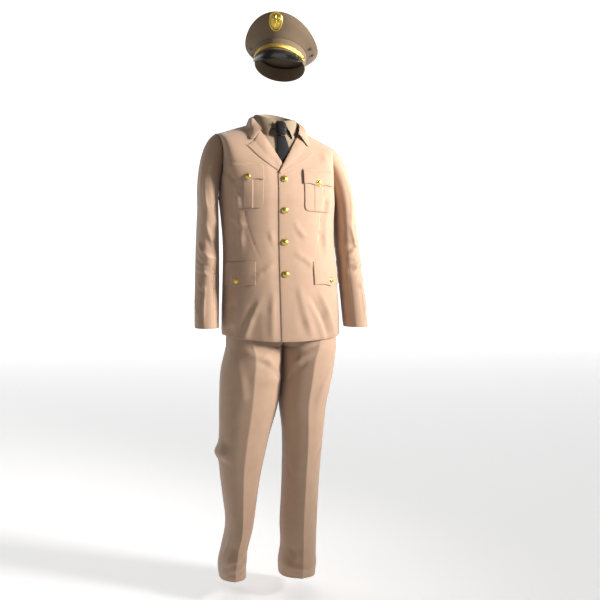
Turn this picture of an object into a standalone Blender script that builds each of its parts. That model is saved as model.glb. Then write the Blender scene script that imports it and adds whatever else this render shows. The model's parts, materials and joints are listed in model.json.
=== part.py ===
"""A khaki ceremonial uniform, worn and hollow: peaked cap, coat, shirt collar and tie, trousers.

Heights in the tables are above the ground, in metres. The origin of the part is the middle of the
neck base between the shoulders, where the wearer carries the coat. The front faces -Y, +Z is up, and
+X is the wearer's left. "Left" and "right" are the wearer's in every name.
"""

import math
from collections import namedtuple

import bpy
import numpy as np
from mathutils import Euler, Vector

for old in list(bpy.data.objects):
    bpy.data.objects.remove(old, do_unlink=True)

HELD_HEIGHT = 1.48
SEAM_GAP = 0.0003
COAT_CLOTH = 0.002
TROUSER_CLOTH = 0.0016
SHIRT_CLOTH = 0.0012
SHIRT_BACK_CLOTH = 0.0018
POCKET_CLOTH = 0.0015
PLEAT_RISE = 0.0012

# Girths of the coat below the arms: half width, and depth before and behind the middle.
Girth = namedtuple("Girth", "height half_width front back")
COAT = (
    Girth(0.822, 0.1925, 0.137, 0.136),
    Girth(0.900, 0.1925, 0.136, 0.139),
    Girth(0.980, 0.1895, 0.131, 0.134),
    Girth(1.060, 0.1855, 0.125, 0.121),
    Girth(1.140, 0.1825, 0.121, 0.112),
    Girth(1.200, 0.1845, 0.124, 0.118),
    Girth(1.270, 0.1900, 0.130, 0.130),
)
SHIRT = (
    Girth(0.930, 0.1650, 0.1060, 0.110),
    Girth(1.000, 0.1610, 0.1050, 0.105),
    Girth(1.034, 0.1570, 0.1040, 0.100),
    Girth(1.053, 0.1597, 0.1068, 0.1022),
    Girth(1.078, 0.1597, 0.1068, 0.1018),
    Girth(1.140, 0.1640, 0.1080, 0.101),
    Girth(1.200, 0.1680, 0.1100, 0.106),
    Girth(1.270, 0.1730, 0.1150, 0.117),
)
HIPS = (
    Girth(0.800, 0.1800, 0.120, 0.128),
    Girth(0.900, 0.1800, 0.121, 0.130),
    Girth(0.980, 0.1740, 0.116, 0.120),
    Girth(1.034, 0.1630, 0.110, 0.106),
    Girth(1.075, 0.1630, 0.110, 0.105),
)
CHEST_HEIGHT = 1.270
GIRTH_POWER = 2.3
SIDE_SEAM = math.radians(100)
SEAM_ANGLE = math.radians(0.06)
HEM_RISE = 0.016

# How the wearer stands: the body drifts sideways, twists, and the left shoulder drops.
Stance = namedtuple("Stance", "height shift twist tilt")
STANCE = (
    Stance(0.800, 0.010, 0.0, 0.0),
    Stance(1.100, 0.003, 0.0, 0.0),
    Stance(1.300, -0.006, 3.0, 0.060),
    Stance(1.460, -0.009, 3.5, 0.095),
    Stance(1.600, -0.009, 3.5, 0.095),
)

# Where the shoulder seam of each shell starts at the neck and ends at the arm.
Yoke = namedtuple(
    "Yoke", "neck_x neck_y neck_z tip_x tip_y tip_z centre_y centre_z arm_in arm_swell centre_turn tip_turn")
COAT_BACK = Yoke(0.078, 0.012, 1.5150, 0.197, 0.008, 1.4660, 0.062, 1.5220, 0.018, 0.040, 62, 90)
SHIRT_BACK = Yoke(0.066, 0.010, 1.5166, 0.184, 0.008, 1.4682, 0.055, 1.5230, 0.010, 0.020, 55, 84)
SHIRT_FRONT = Yoke(0.066, 0.010, 1.5166, 0.184, 0.008, 1.4682, -0.058, 1.4960, 0.014, 0.030, 40, 80)
FRONT_ARM_IN = 0.014
FRONT_ARM_SWELL = 0.050
LAP = 0.018
BREAK_HEIGHT = 1.350
UNDER_INSET = 0.0026
ARM_SEAM_GAP = 0.0012

# The arms, as level sections of the sleeve.
Arm = namedtuple("Arm", "height x y half_width half_depth")
ARM = (
    Arm(0.862, 0.2440, -0.030, 0.0385, 0.0580),
    Arm(0.940, 0.2410, -0.014, 0.0390, 0.0610),
    Arm(1.000, 0.2380, 0.000, 0.0390, 0.0640),
    Arm(1.060, 0.2350, 0.010, 0.0385, 0.0670),
    Arm(1.120, 0.2320, 0.016, 0.0375, 0.0700),
    Arm(1.180, 0.2290, 0.016, 0.0355, 0.0730),
    Arm(1.235, 0.2262, 0.012, 0.0332, 0.0760),
)
SLEEVE_ROWS = 9
ARM_STEP = math.radians(22.5)
SEAM_TURN = 0.003
FRONT_SLEEVE_SEAM = 5 * ARM_STEP
BACK_SLEEVE_SEAM = 11 * ARM_STEP

# The legs: the inner and outer edge of each, seen from the front, and the depth before and behind.
Leg = namedtuple("Leg", "height inner outer front back")
RIGHT_LEG = (
    Leg(0.050, -0.107, -0.193, 0.100, 0.092),
    Leg(0.098, -0.107, -0.195, 0.100, 0.092),
    Leg(0.141, -0.104, -0.186, 0.097, 0.094),
    Leg(0.216, -0.086, -0.1725, 0.096, 0.096),
    Leg(0.314, -0.070, -0.181, 0.094, 0.097),
    Leg(0.389, -0.058, -0.190, 0.092, 0.098),
    Leg(0.461, -0.042, -0.196, 0.098, 0.098),
    Leg(0.513, -0.030, -0.194, 0.100, 0.101),
    Leg(0.625, -0.001, -0.193, 0.106, 0.110),
    Leg(0.716, 0.0075, -0.188, 0.112, 0.118),
    Leg(0.800, 0.0095, -0.171, 0.119, 0.127),
)
LEFT_LEG = (
    Leg(0.050, 0.003, 0.118, 0.100, 0.092),
    Leg(0.098, 0.003, 0.120, 0.100, 0.092),
    Leg(0.141, 0.010, 0.121, 0.097, 0.094),
    Leg(0.216, 0.0085, 0.124, 0.096, 0.096),
    Leg(0.314, 0.012, 0.129, 0.096, 0.098),
    Leg(0.389, 0.015, 0.134, 0.097, 0.099),
    Leg(0.461, 0.017, 0.140, 0.100, 0.101),
    Leg(0.513, 0.0155, 0.145, 0.104, 0.104),
    Leg(0.625, 0.0035, 0.158, 0.111, 0.114),
    Leg(0.716, 0.0105, 0.177, 0.115, 0.120),
    Leg(0.800, 0.0120, 0.190, 0.119, 0.127),
)
CROTCH_HEIGHT = 0.800
RISE_LENGTH = 0.100
SEAT_FOOT = 0.730
TROUSER_TOP = 1.0335
OUTSEAM = math.radians(74)
CREASE_RISE = 0.007
CREASE_SPREAD = math.radians(11)
HEM_MIDDLE = 0.058
HEM_SLANT = 0.012

# Folds that stand out of the cloth: height, angle round the tube, size, spread up and round.
Fold = namedtuple("Fold", "height angle rise tall wide")
RIGHT_LEG_FOLDS = (
    Fold(0.461, 80, 0.014, 0.020, 34),
    Fold(0.120, 0, 0.010, 0.016, 50),
    Fold(0.165, 20, -0.006, 0.018, 40),
    Fold(0.400, 190, 0.006, 0.016, 40),
    Fold(0.440, 170, -0.005, 0.014, 40),
    Fold(0.700, -35, 0.005, 0.020, 30),
)
LEFT_LEG_FOLDS = (
    Fold(0.105, 0, 0.010, 0.014, 50),
    Fold(0.150, -20, -0.006, 0.018, 40),
    Fold(0.400, 175, 0.006, 0.016, 40),
    Fold(0.440, 190, -0.005, 0.014, 40),
    Fold(0.660, 30, 0.004, 0.030, 30),
)
ARM_FOLDS = (
    Fold(1.130, 90, -0.006, 0.014, 40),
    Fold(1.085, 95, 0.005, 0.014, 40),
    Fold(1.045, 80, -0.005, 0.013, 40),
    Fold(1.200, 100, 0.004, 0.020, 40),
)

CAP_AT = Vector((0.0025, -0.020, 1.7062))
CAP_TURN = Euler((math.radians(-17), math.radians(2.5), math.radians(-19)), "XYZ")
CAP_CLOTH = 0.002
BAND_HALF_WIDTH = 0.0820
BAND_HALF_DEPTH = 0.1000
BAND_HEIGHT = 0.045

CapRow = namedtuple("CapRow", "half_width front back z_front z_side z_back")
CROWN = (
    CapRow(0.0835, 0.1015, 0.1010, 0.0456, 0.0456, 0.0456),
    CapRow(0.0927, 0.1142, 0.1089, 0.0613, 0.0495, 0.0493),
    CapRow(0.1072, 0.1325, 0.1190, 0.0861, 0.0557, 0.0549),
    CapRow(0.1163, 0.1422, 0.1240, 0.1058, 0.0618, 0.0598),
    CapRow(0.1173, 0.1416, 0.1251, 0.1127, 0.0651, 0.0625),
    CapRow(0.1109, 0.1326, 0.1185, 0.1152, 0.0662, 0.0643),
    CapRow(0.0841, 0.1000, 0.0899, 0.1118, 0.0674, 0.0670),
    CapRow(0.0445, 0.0526, 0.0480, 0.1007, 0.0681, 0.0722),
    CapRow(0.0119, 0.0137, 0.0123, 0.0900, 0.0683, 0.0775),
)
PEAK_HALF_ANGLE = math.radians(66)
PEAK_LENGTH = 0.050
PEAK_SLOPE = math.radians(56)
PEAK_THICK = 0.002
STRAP_HALF_ANGLE = math.radians(70)
STRAP_WIDTH = 0.0125
STRAP_THICK = 0.0022
STRAP_FRONT_Z = 0.0185
STRAP_END_Z = 0.0115
BADGE_HALF_WIDTH = 0.025
BADGE_HALF_HEIGHT = 0.031

Ring = namedtuple("Ring", "radius height")
BUTTON_PROFILE = (
    Ring(0.90, 0.0),
    Ring(1.00, 0.16),
    Ring(0.88, 0.34),
    Ring(0.45, 0.53),
)
FRONT_BUTTON_RADIUS = 0.0108
POCKET_BUTTON_RADIUS = 0.0088
CAP_BUTTON_RADIUS = 0.0065
FRONT_BUTTON_HEIGHTS = (1.332, 1.2335, 1.134, 1.0335)
FRONT_BUTTON_STANDS = (0.0003, 0.0006, 0.0009, 0.0006)


def finish(name, base, roughness, metallic=0.0):
    """A plain surface with the real thing's colour, gloss and metal."""
    material = bpy.data.materials.new(name)
    material.use_nodes = True
    shader = material.node_tree.nodes["Principled BSDF"]
    shader.inputs["Base Color"].default_value = (*base, 1.0)
    shader.inputs["Roughness"].default_value = roughness
    shader.inputs["Metallic"].default_value = metallic
    return material


KHAKI = (0.51, 0.33, 0.22)
KHAKI_DARK = (0.22, 0.15, 0.09)
SHIRT_TAN = (0.56, 0.42, 0.28)
TIE_BLACK = (0.010, 0.010, 0.013)
GOLD = (0.83, 0.60, 0.16)
PEAK_BLACK = (0.008, 0.008, 0.009)


def curve_through(xs, ys, at):
    """A smooth curve through (xs, ys), read at the given places."""
    xs, ys = np.asarray(xs, float), np.asarray(ys, float)
    slope = np.gradient(ys, xs)
    at = np.clip(at, xs[0], xs[-1])
    i = np.clip(np.searchsorted(xs, at) - 1, 0, len(xs) - 2)
    step = xs[i + 1] - xs[i]
    t = (at - xs[i]) / step
    start = (2 * t**3 - 3 * t**2 + 1) * ys[i] + (t**3 - 2 * t**2 + t) * step * slope[i]
    end = (-2 * t**3 + 3 * t**2) * ys[i + 1] + (t**3 - t**2) * step * slope[i + 1]
    return start + end


def column(rows, name, height):
    """One column of a table at the given heights."""
    return curve_through([r.height for r in rows], [getattr(r, name) for r in rows], height)


def lerp(a, b, t):
    return a + (b - a) * t


def smooth(t):
    t = np.clip(t, 0, 1)
    return t * t * (3 - 2 * t)


def soft_ramp(t, rounding=0.03):
    """t above nought and nought below it, with the corner rounded."""
    return 0.5 * (t + np.sqrt(t * t + rounding * rounding))


def signed_power(value, power):
    return np.sign(value) * np.abs(value) ** power


def stack(x, y, z):
    return np.stack(np.broadcast_arrays(x, y, z), axis=-1).astype(float)


def oval(angle, half_width, front, back):
    """x and y of a rounded oval; angle 0 is the front and 90 degrees the left."""
    c = np.cos(angle)
    depth = np.where(c > 0, front, back)
    x = half_width * signed_power(np.sin(angle), 2 / GIRTH_POWER)
    return x, -depth * signed_power(c, 2 / GIRTH_POWER)


def girth_point(rows, angle, height):
    x, y = oval(
        angle,
        column(rows, "half_width", height),
        column(rows, "front", height),
        column(rows, "back", height),
    )
    return x, y


def from_ground(points):
    """Heights above the ground become heights from the origin."""
    moved = np.array(points, float)
    moved[..., 2] -= HELD_HEIGHT
    return moved


def posed(points):
    """Points of the upright, even coat moved to how the wearer stands."""
    x, y, h = points[..., 0], points[..., 1], points[..., 2]
    twist = np.radians(column(STANCE, "twist", h))
    across = x * np.cos(twist) - y * np.sin(twist) + column(STANCE, "shift", h)
    deep = x * np.sin(twist) + y * np.cos(twist)
    return stack(across, deep, h - column(STANCE, "tilt", h) * x - HELD_HEIGHT)


def normals_of(surface, a, b, side=1, step=1e-3):
    """Outward unit normals of surface(a, b), where a turns from front to left and b rises."""
    around = surface(a + step, b) - surface(a - step, b)
    rising = surface(a, b + step) - surface(a, b - step)
    normal = np.cross(around, rising) * side
    return normal / np.maximum(np.linalg.norm(normal, axis=-1, keepdims=True), 1e-12)


def add_mesh(name, points, faces, material, smooth_angle=50):
    mesh = bpy.data.meshes.new(name)
    mesh.from_pydata([tuple(p) for p in points], [], faces)
    mesh.materials.append(material)
    mesh.shade_smooth()
    mesh.set_sharp_from_angle(angle=math.radians(smooth_angle))
    part = bpy.data.objects.new(name, mesh)
    bpy.context.scene.collection.objects.link(part)
    return part


def grid_faces(rows, columns, closed=False):
    last = columns if closed else columns - 1
    faces = []
    for r in range(rows - 1):
        for c in range(last):
            d = (c + 1) % columns
            faces.append((r * columns + c, r * columns + d, (r + 1) * columns + d, (r + 1) * columns + c))
    return faces


def wall(name, surface, a, b, thick, material, side=1, closed=False, crown=False):
    """A cloth wall: surface(a, b) is its outer face, and its inner face lies thick behind it."""
    a, b = np.meshgrid(np.asarray(a, float), np.asarray(b, float))
    points = surface(a, b)
    rows, columns = points.shape[:2]
    inner = points - normals_of(surface, a, b, side) * thick
    outer_faces = grid_faces(rows, columns, closed)
    count = rows * columns
    faces = list(outer_faces) + [tuple(count + i for i in reversed(f)) for f in outer_faces]
    if closed:
        edges = [(c, (c + 1) % columns) for c in range(columns)]
        last_row = (rows - 1) * columns
        rims = [edges] if crown else [edges, [(last_row + b, last_row + a) for a, b in edges]]
        faces += [(b, a, count + a, count + b) for rim in rims for a, b in rim]
    else:
        bottom = list(range(columns))
        right = [r * columns + columns - 1 for r in range(1, rows)]
        top = [(rows - 1) * columns + c for c in range(columns - 2, -1, -1)]
        left = [r * columns for r in range(rows - 2, 0, -1)]
        loop = bottom + right + top + left
        faces += [(b, a, count + a, count + b) for a, b in zip(loop, loop[1:] + loop[:1])]
    if crown:
        last = [(rows - 1) * columns + c for c in range(columns)]
        faces += [tuple(last), tuple(count + i for i in reversed(last))]
    if side < 0:
        faces = [tuple(reversed(f)) for f in faces]
    return add_mesh(name, np.concatenate([points.reshape(-1, 3), inner.reshape(-1, 3)]), faces, material)


def shoulder_line(yoke, t):
    """The shoulder seam, from the neck at 0 to the arm at 1."""
    return (
        lerp(yoke.neck_x, yoke.tip_x, t),
        lerp(yoke.neck_y, yoke.tip_y, t),
        lerp(yoke.neck_z, yoke.tip_z, t),
    )


def panel_with_neck(rows, yoke, face, across, up, side_angle, hem_height):
    """Half of a back, or of a closed front, of a body shell, at plain places.

    across runs from the centre line at 0 to the side seam at 1. up runs from the hem at 0 over the
    chest line at 1 to the shoulder at 2. face is -1 for a front and 1 for a back.
    """
    centre = 0.0 if face < 0 else math.pi
    angle = lerp(centre, side_angle, across)
    height = lerp(hem_height, CHEST_HEIGHT, np.minimum(up, 1))
    low_x, low_y = girth_point(rows, angle, height)
    base_x, base_y = girth_point(rows, angle, CHEST_HEIGHT)
    side_x, _ = girth_point(rows, side_angle, CHEST_HEIGHT)
    share = np.clip(base_x / side_x, 0, 1)
    neck_share = yoke.neck_x / yoke.tip_x
    on_neck = np.clip(share / neck_share, 0, 1)
    dip = np.sqrt(np.maximum(1 - on_neck**2, 0))
    line_x, line_y, line_z = shoulder_line(yoke, np.clip((share - neck_share) / (1 - neck_share), 0, 1))
    top_x = share * yoke.tip_x
    top_y = np.where(share < neck_share, lerp(yoke.neck_y, yoke.centre_y, dip), line_y)
    top_z = np.where(share < neck_share, lerp(yoke.neck_z, yoke.centre_z, dip), line_z)
    last = np.radians(lerp(yoke.centre_turn, yoke.tip_turn, smooth(on_neck)))
    turn = np.clip(up - 1, 0, 1) * last
    rise = np.sin(turn) / np.sin(last)
    back_off = (np.cos(turn) - np.cos(last)) / (1 - np.cos(last))
    bulge = np.sin(2 * turn) * share**3
    high_x = lerp(base_x, top_x, 1 - back_off) - yoke.arm_in * bulge
    high_y = lerp(top_y + face * SEAM_GAP, base_y, back_off) + face * yoke.arm_swell * bulge
    high_z = lerp(CHEST_HEIGHT, top_z, rise)
    low = up <= 1
    return stack(np.where(low, low_x, high_x), np.where(low, low_y, high_y), np.where(low, height, high_z))


def coat_hem(angle):
    """The coat's hem dips a little at the front and back and rises at the sides."""
    return COAT[0].height + HEM_RISE * np.sin(angle) ** 2


def coat_front(across, up, side_angle=SIDE_SEAM - SEAM_ANGLE):
    """The left front: across from the front edge to the side seam, up from hem 0, chest 1, shoulder 2."""
    height_now = np.minimum(up, 1)
    lap_angle = -((LAP / column(COAT, "half_width", CHEST_HEIGHT)) ** (GIRTH_POWER / 2))
    angle = lerp(lap_angle, side_angle, across)
    height = lerp(coat_hem(angle), CHEST_HEIGHT, height_now)
    low_x, low_y = girth_point(COAT, angle, height)
    base_x, base_y = girth_point(COAT, angle, CHEST_HEIGHT)
    side_x, _ = girth_point(COAT, side_angle, CHEST_HEIGHT)
    share = (base_x + LAP) / (side_x + LAP)
    top_x, top_y, top_z = shoulder_line(COAT_BACK, share)
    turn = np.clip(up - 1, 0, 1) * math.pi / 2
    edge_height = lerp(CHEST_HEIGHT, COAT_BACK.neck_z, np.sin(turn))
    roll = soft_ramp((edge_height - BREAK_HEIGHT) / (COAT_BACK.neck_z - BREAK_HEIGHT))
    roll = roll / soft_ramp(1.0) - soft_ramp(-1.0)
    edge_x = lerp(-LAP, COAT_BACK.neck_x, roll)
    arm_x = lerp(side_x, COAT_BACK.tip_x, 1 - np.cos(turn)) - FRONT_ARM_IN * np.sin(2 * turn)
    high_x = lerp(edge_x, arm_x, share)
    high_y = lerp(top_y - SEAM_GAP, base_y, np.cos(turn)) - FRONT_ARM_SWELL * np.sin(2 * turn) * share**3
    high_z = lerp(CHEST_HEIGHT, top_z, np.sin(turn))
    low = up <= 1
    return stack(np.where(low, low_x, high_x), np.where(low, low_y, high_y), np.where(low, height, high_z))


def coat_back(across, up):
    side_angle = SIDE_SEAM + SEAM_ANGLE
    angle = lerp(math.pi, side_angle, across)
    return panel_with_neck(COAT, COAT_BACK, 1, across, up, side_angle, coat_hem(angle))


def mirrored(points, side):
    """The points on the right side of the body when side is -1."""
    return points * np.array([side, 1, 1])


def skirt_folds(points):
    """Long soft folds in the skirt of the coat, deepest at the hem."""
    angle = np.arctan2(points[..., 0], -points[..., 1])
    fade = smooth((1.02 - points[..., 2]) / 0.20)
    ripple = 0.0022 * np.sin(angle * 7 + 0.6) + 0.0014 * np.sin(angle * 12 + 2.0)
    out = points * np.array([1, 1, 0])
    out = out / np.maximum(np.linalg.norm(out, axis=-1, keepdims=True), 1e-9)
    calm = smooth((np.abs(angle) - 0.25) / 0.4)
    return points + out * (ripple * fade * calm)[..., None]


def front_sheet(across, up, side):
    """One front as it hangs, before the stance. The right one tucks in under the left."""
    points = mirrored(skirt_folds(coat_front(across, up)), side)
    if side < 0:
        under = smooth((points[..., 0] + 0.055) / 0.035)
        points = points - front_normals(across, up, side) * (UNDER_INSET * under)[..., None]
    return points


def front_normals(across, up, side):
    """Outward normals of a front before the stance."""
    return mirrored(normals_of(coat_front, across, np.clip(up, 0.002, 1.998)), side)


def armhole(turn):
    """The armhole seam of the left side: turn 0 is the shoulder, 90 the front, 180 the underarm."""
    forward = turn <= math.pi
    front_up_value = 2 - np.minimum(turn, math.pi) / math.pi
    back_up_value = 1 + np.clip(turn - math.pi, 0, math.pi) / math.pi
    one = np.ones_like(turn)
    return np.where(forward[..., None], coat_front(one, front_up_value), coat_back(one, back_up_value))


def folds_at(folds, height, angle):
    """How far the listed folds push the cloth out at a height and an angle round the tube."""
    total = 0.0
    for f in folds:
        apart = np.angle(np.exp(1j * (angle - math.radians(f.angle))))
        shape = np.exp(-(((height - f.height) / f.tall) ** 2) - (apart / math.radians(f.wide)) ** 2)
        total = total + f.rise * shape
    return total


def arm_ring(turn, height):
    """A level section of the sleeve: turn 0 is the outer side, 90 degrees the front."""
    fold = folds_at(ARM_FOLDS, height, turn)
    x = column(ARM, "x", height) + (column(ARM, "half_width", height) + fold) * signed_power(np.cos(turn), 0.9)
    y = column(ARM, "y", height) - (column(ARM, "half_depth", height) + fold) * signed_power(np.sin(turn), 0.9)
    return stack(x, y, height)


def sleeve(turn, down):
    """The left sleeve: down from the armhole at 0, the head's foot at 1, to the cuff at 2."""
    start = armhole(np.mod(turn, 2 * math.pi))
    out = stack(0.50 + 0.25 * np.cos(turn), -0.30 * np.sin(turn), -0.72 + 0.22 * np.cos(turn))
    out = out / np.linalg.norm(out, axis=-1, keepdims=True)
    start = start + out * ARM_SEAM_GAP + np.array([ARM_SEAM_GAP, 0, 0])
    top = ARM[-1].height
    end = arm_ring(turn, top)
    reach = np.linalg.norm(end - start, axis=-1, keepdims=True)
    t = np.clip(down, 0, 1)[..., None]
    head = (
        (2 * t**3 - 3 * t**2 + 1) * start
        + (t**3 - 2 * t**2 + t) * out * reach * 0.8
        + (-2 * t**3 + 3 * t**2) * end
        + (t**3 - t**2) * np.array([0, 0, -1.0]) * reach * 1.1
    )
    tube = arm_ring(turn, lerp(top, ARM[0].height, np.clip(down - 1, 0, 1)))
    return np.where((down <= 1)[..., None], head, tube)


def leg_row(rows, angle, height, side, folds):
    """A level section of a trouser leg: angle 0 is the front crease, 90 degrees the outer side."""
    inner, outer = column(rows, "inner", height), column(rows, "outer", height)
    crease = CREASE_RISE * smooth((1.0 - height) / 0.12)
    away = np.minimum(np.abs(angle), np.abs(np.abs(angle) - math.pi))
    ridge = crease * np.exp(-away / CREASE_SPREAD) + folds_at(folds, height, angle)
    half = np.abs(outer - inner) / 2
    x, y = oval(angle, half, column(rows, "front", height), column(rows, "back", height))
    size = np.maximum(np.hypot(x, y), 1e-9)
    x, y = x * (1 + ridge / size), y * (1 + ridge / size)
    return (inner + outer) / 2 + side * x, y


def trouser(side, angle, height):
    """A trouser point: the leg below the crotch, and the half of the hips above it.

    angle runs from the inseam at -90 degrees over the front crease to the outseam, or on over the
    back crease at 180 to the inseam at 270.
    """
    rows = LEFT_LEG if side > 0 else RIGHT_LEG
    folds = LEFT_LEG_FOLDS if side > 0 else RIGHT_LEG_FOLDS
    leg_x, leg_y = leg_row(rows, angle, np.minimum(height, CROTCH_HEIGHT), side, folds)
    in_front = angle <= OUTSEAM
    share_front = (angle + math.pi / 2) / (OUTSEAM + math.pi / 2)
    share_back = (1.5 * math.pi - angle) / (1.5 * math.pi - OUTSEAM)
    hip_angle = np.where(in_front, lerp(0, OUTSEAM, share_front), lerp(math.pi, OUTSEAM, share_back))
    hip_height = np.maximum(height, CROTCH_HEIGHT)
    half_x, half_y = girth_point(HIPS, hip_angle, hip_height)
    middle = column(STANCE, "shift", hip_height)
    hip_x = middle + side * (half_x + SEAM_GAP)
    share = np.clip(np.where(in_front, share_front, share_back), 0, 1)
    rise = np.clip((height - CROTCH_HEIGHT) / RISE_LENGTH, 0, 1)
    sweep = smooth((height - SEAT_FOOT) / (CROTCH_HEIGHT + RISE_LENGTH - SEAT_FOOT))
    blend = lerp(np.sqrt(1 - (1 - rise) ** 2), sweep, smooth(share / 0.45))
    return stack(lerp(leg_x, hip_x, blend), lerp(leg_y, half_y, blend), height)


def waistband(angle, height):
    x, y = girth_point(HIPS, angle, height)
    return from_ground(stack(x + column(STANCE, "shift", height), y, height))


def leg_height(level, angle):
    """The hem slants down to the back, and the slant dies out up the leg."""
    slant = HEM_SLANT * np.cos(angle) * np.clip(1 - (level - HEM_MIDDLE) / 0.12, 0, 1)
    return level + slant


def build_coat(cloth):
    rows_low = np.linspace(0, 1, 8)
    rows_high = 1 + np.linspace(0, 1, 9)[1:]
    ups = np.concatenate([rows_low, rows_high])
    fronts = np.array([0.0, 0.05, 0.13, 0.25, 0.38, 0.52, 0.66, 0.79, 0.90, 1.0])
    neck_share = COAT_BACK.neck_x / COAT_BACK.tip_x
    side_x, _ = girth_point(COAT, SIDE_SEAM, CHEST_HEIGHT)
    half_width = column(COAT, "half_width", CHEST_HEIGHT)
    neck_angle = math.pi - math.asin((neck_share * side_x / half_width) ** (GIRTH_POWER / 2))
    neck_across = (math.pi - neck_angle) / (math.pi - SIDE_SEAM)
    near_neck, to_side = np.linspace(0, neck_across, 4)[1:], np.linspace(neck_across, 1, 6)[1:]
    backs = np.concatenate([[SEAM_ANGLE], near_neck, to_side])
    turn_steps = np.arange(-5, 6) * ARM_STEP
    under_steps = np.arange(5, 12) * ARM_STEP
    for steps in (turn_steps, under_steps):
        steps[[0, -1]] += (SEAM_TURN, -SEAM_TURN)
    downs = np.concatenate([np.linspace(0, 1, 6), 1 + np.linspace(0, 1, SLEEVE_ROWS)[1:]])
    for side, word in ((1, "left"), (-1, "right")):
        front = lambda a, b: posed(front_sheet(a, b, side))
        back = lambda a, b: posed(mirrored(skirt_folds(coat_back(1 - a, b)), side))
        arm = lambda a, b: posed(mirrored(sleeve(-a, 2 - b), side))
        wall(f"coat_front_{word}", front, fronts, ups, COAT_CLOTH, cloth, side)
        wall(f"coat_back_{word}", back, 1 - backs[::-1], ups, COAT_CLOTH, cloth, side)
        for piece, steps in (("top", turn_steps), ("under", under_steps)):
            wall(f"{piece}_sleeve_{word}", arm, -steps[::-1], 2 - downs[::-1], COAT_CLOTH, cloth, side)


def build_trousers(cloth):
    levels = [HEM_MIDDLE, 0.085, 0.112, 0.135, 0.165, 0.240, 0.330, 0.395, 0.430, 0.461, 0.500]
    levels += [0.560, 0.640, 0.720, 0.765, CROTCH_HEIGHT, 0.806, 0.826, 0.862, 0.905, 0.970, TROUSER_TOP]
    seam = math.degrees(OUTSEAM)
    front = [-89.9, -52, -14, 0, 14, 45, seam - 0.08]
    back = [seam + 0.08, 102, 135, 166, 180, 194, 230, 269.9]
    for side, word in ((1, "left"), (-1, "right")):
        leg = lambda a, b: from_ground(trouser(side, a, leg_height(b, a)))
        for piece, angles in (("front", front), ("back", back)):
            wall(f"trouser_{piece}_{word}", leg, np.radians(angles), levels, TROUSER_CLOTH, cloth, side)
    quarter = shirt_half() * math.pi / 2
    half_turn = np.concatenate([quarter, math.pi - quarter[-2::-1]])
    half_turn[0] = math.radians(0.3)
    band_angles = np.concatenate([half_turn, 2 * math.pi - half_turn[-2::-1]])
    wall("waistband", waistband, band_angles, [1.0345, 1.0530, 1.0745], 0.002, cloth)


def shirt_half():
    """Columns of half a shirt panel, as shares of a quarter turn, with one at the neck point."""
    neck_share = SHIRT_BACK.neck_x / SHIRT_BACK.tip_x
    neck_across = math.asin(neck_share ** (GIRTH_POWER / 2)) / (math.pi / 2)
    to_side = np.linspace(neck_across, 1 - SEAM_ANGLE * 2, 5)[1:]
    return np.concatenate([np.linspace(0, neck_across, 3), to_side])


def build_shirt(cloth):
    """A plain shirt body, tucked into the trousers, with a neckline for the collar."""
    side = math.pi / 2
    half = shirt_half()
    levels = np.array([r.height for r in SHIRT if r.height != 1.200])
    low = (levels - levels[0]) / (levels[-1] - levels[0])
    front_ups = np.concatenate([low, 1 + np.linspace(0, 1, 6)[1:]])
    back_ups = np.concatenate([low[::2], [1], 1 + np.linspace(0, 1, 5)[1:]])
    across = np.concatenate([-half[:0:-1], half])

    def whole(face):
        def surface(a, b):
            points = panel_with_neck(SHIRT, SHIRT_FRONT if face < 0 else SHIRT_BACK, face,
                                     np.abs(a), b, side, SHIRT[0].height)
            turned = np.where(a < 0, -1.0, 1.0) * -face
            return posed(points * stack(turned, 1.0, 1.0))
        return surface

    wall("shirt_front", whole(-1), across, front_ups, SHIRT_CLOTH, cloth)
    wall("shirt_back", whole(1), across, np.unique(back_ups), SHIRT_BACK_CLOTH, cloth)


def neck_ring(turn, half_width, front, back, middle_y):
    """x and y round the neck; turn 0 is the back, positive to the left, 180 degrees the front."""
    c = np.cos(turn)
    return half_width * np.sin(turn), middle_y + np.where(c > 0, back, front) * c


# Lines round the shirt collar, from the stand's foot over the fold to the leaf's edge.
CollarLine = namedtuple("CollarLine", "half_width front back end_turn z_back z_side z_front")
SHIRT_COLLAR = (
    CollarLine(0.0662, 0.0610, 0.0460, 172, 1.5245, 1.5195, 1.5000),
    CollarLine(0.0650, 0.0560, 0.0480, 172, 1.5430, 1.5320, 1.5130),
    CollarLine(0.0645, 0.0530, 0.0500, 173, 1.5600, 1.5430, 1.5240),
    CollarLine(0.0668, 0.0550, 0.0530, 173, 1.5630, 1.5460, 1.5265),
    CollarLine(0.0692, 0.0620, 0.0560, 168, 1.5580, 1.5420, 1.5200),
    CollarLine(0.0702, 0.0820, 0.0575, 153, 1.5430, 1.5310, 1.4950),
    CollarLine(0.0706, 0.0965, 0.0580, 144, 1.5350, 1.5270, 1.4700),
)
NECK_MIDDLE_Y = 0.005


def shirt_collar(a, line):
    """a runs from the right front end at -1 to the left front end at 1; line counts the table's lines."""
    def at(name):
        return curve_through(range(len(SHIRT_COLLAR)), [getattr(r, name) for r in SHIRT_COLLAR], line)

    turn = a * np.radians(at("end_turn"))
    x, y = neck_ring(turn, at("half_width"), at("front"), at("back"), NECK_MIDDLE_Y)
    q = np.abs(a)
    z_low = lerp(at("z_back"), at("z_side"), smooth(q / 0.55))
    z = lerp(z_low, at("z_front"), smooth((q - 0.5) / 0.5) * 0.6 + 0.4 * np.clip((q - 0.5) / 0.5, 0, 1) ** 2)
    return posed(stack(x, y, z))


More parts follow.
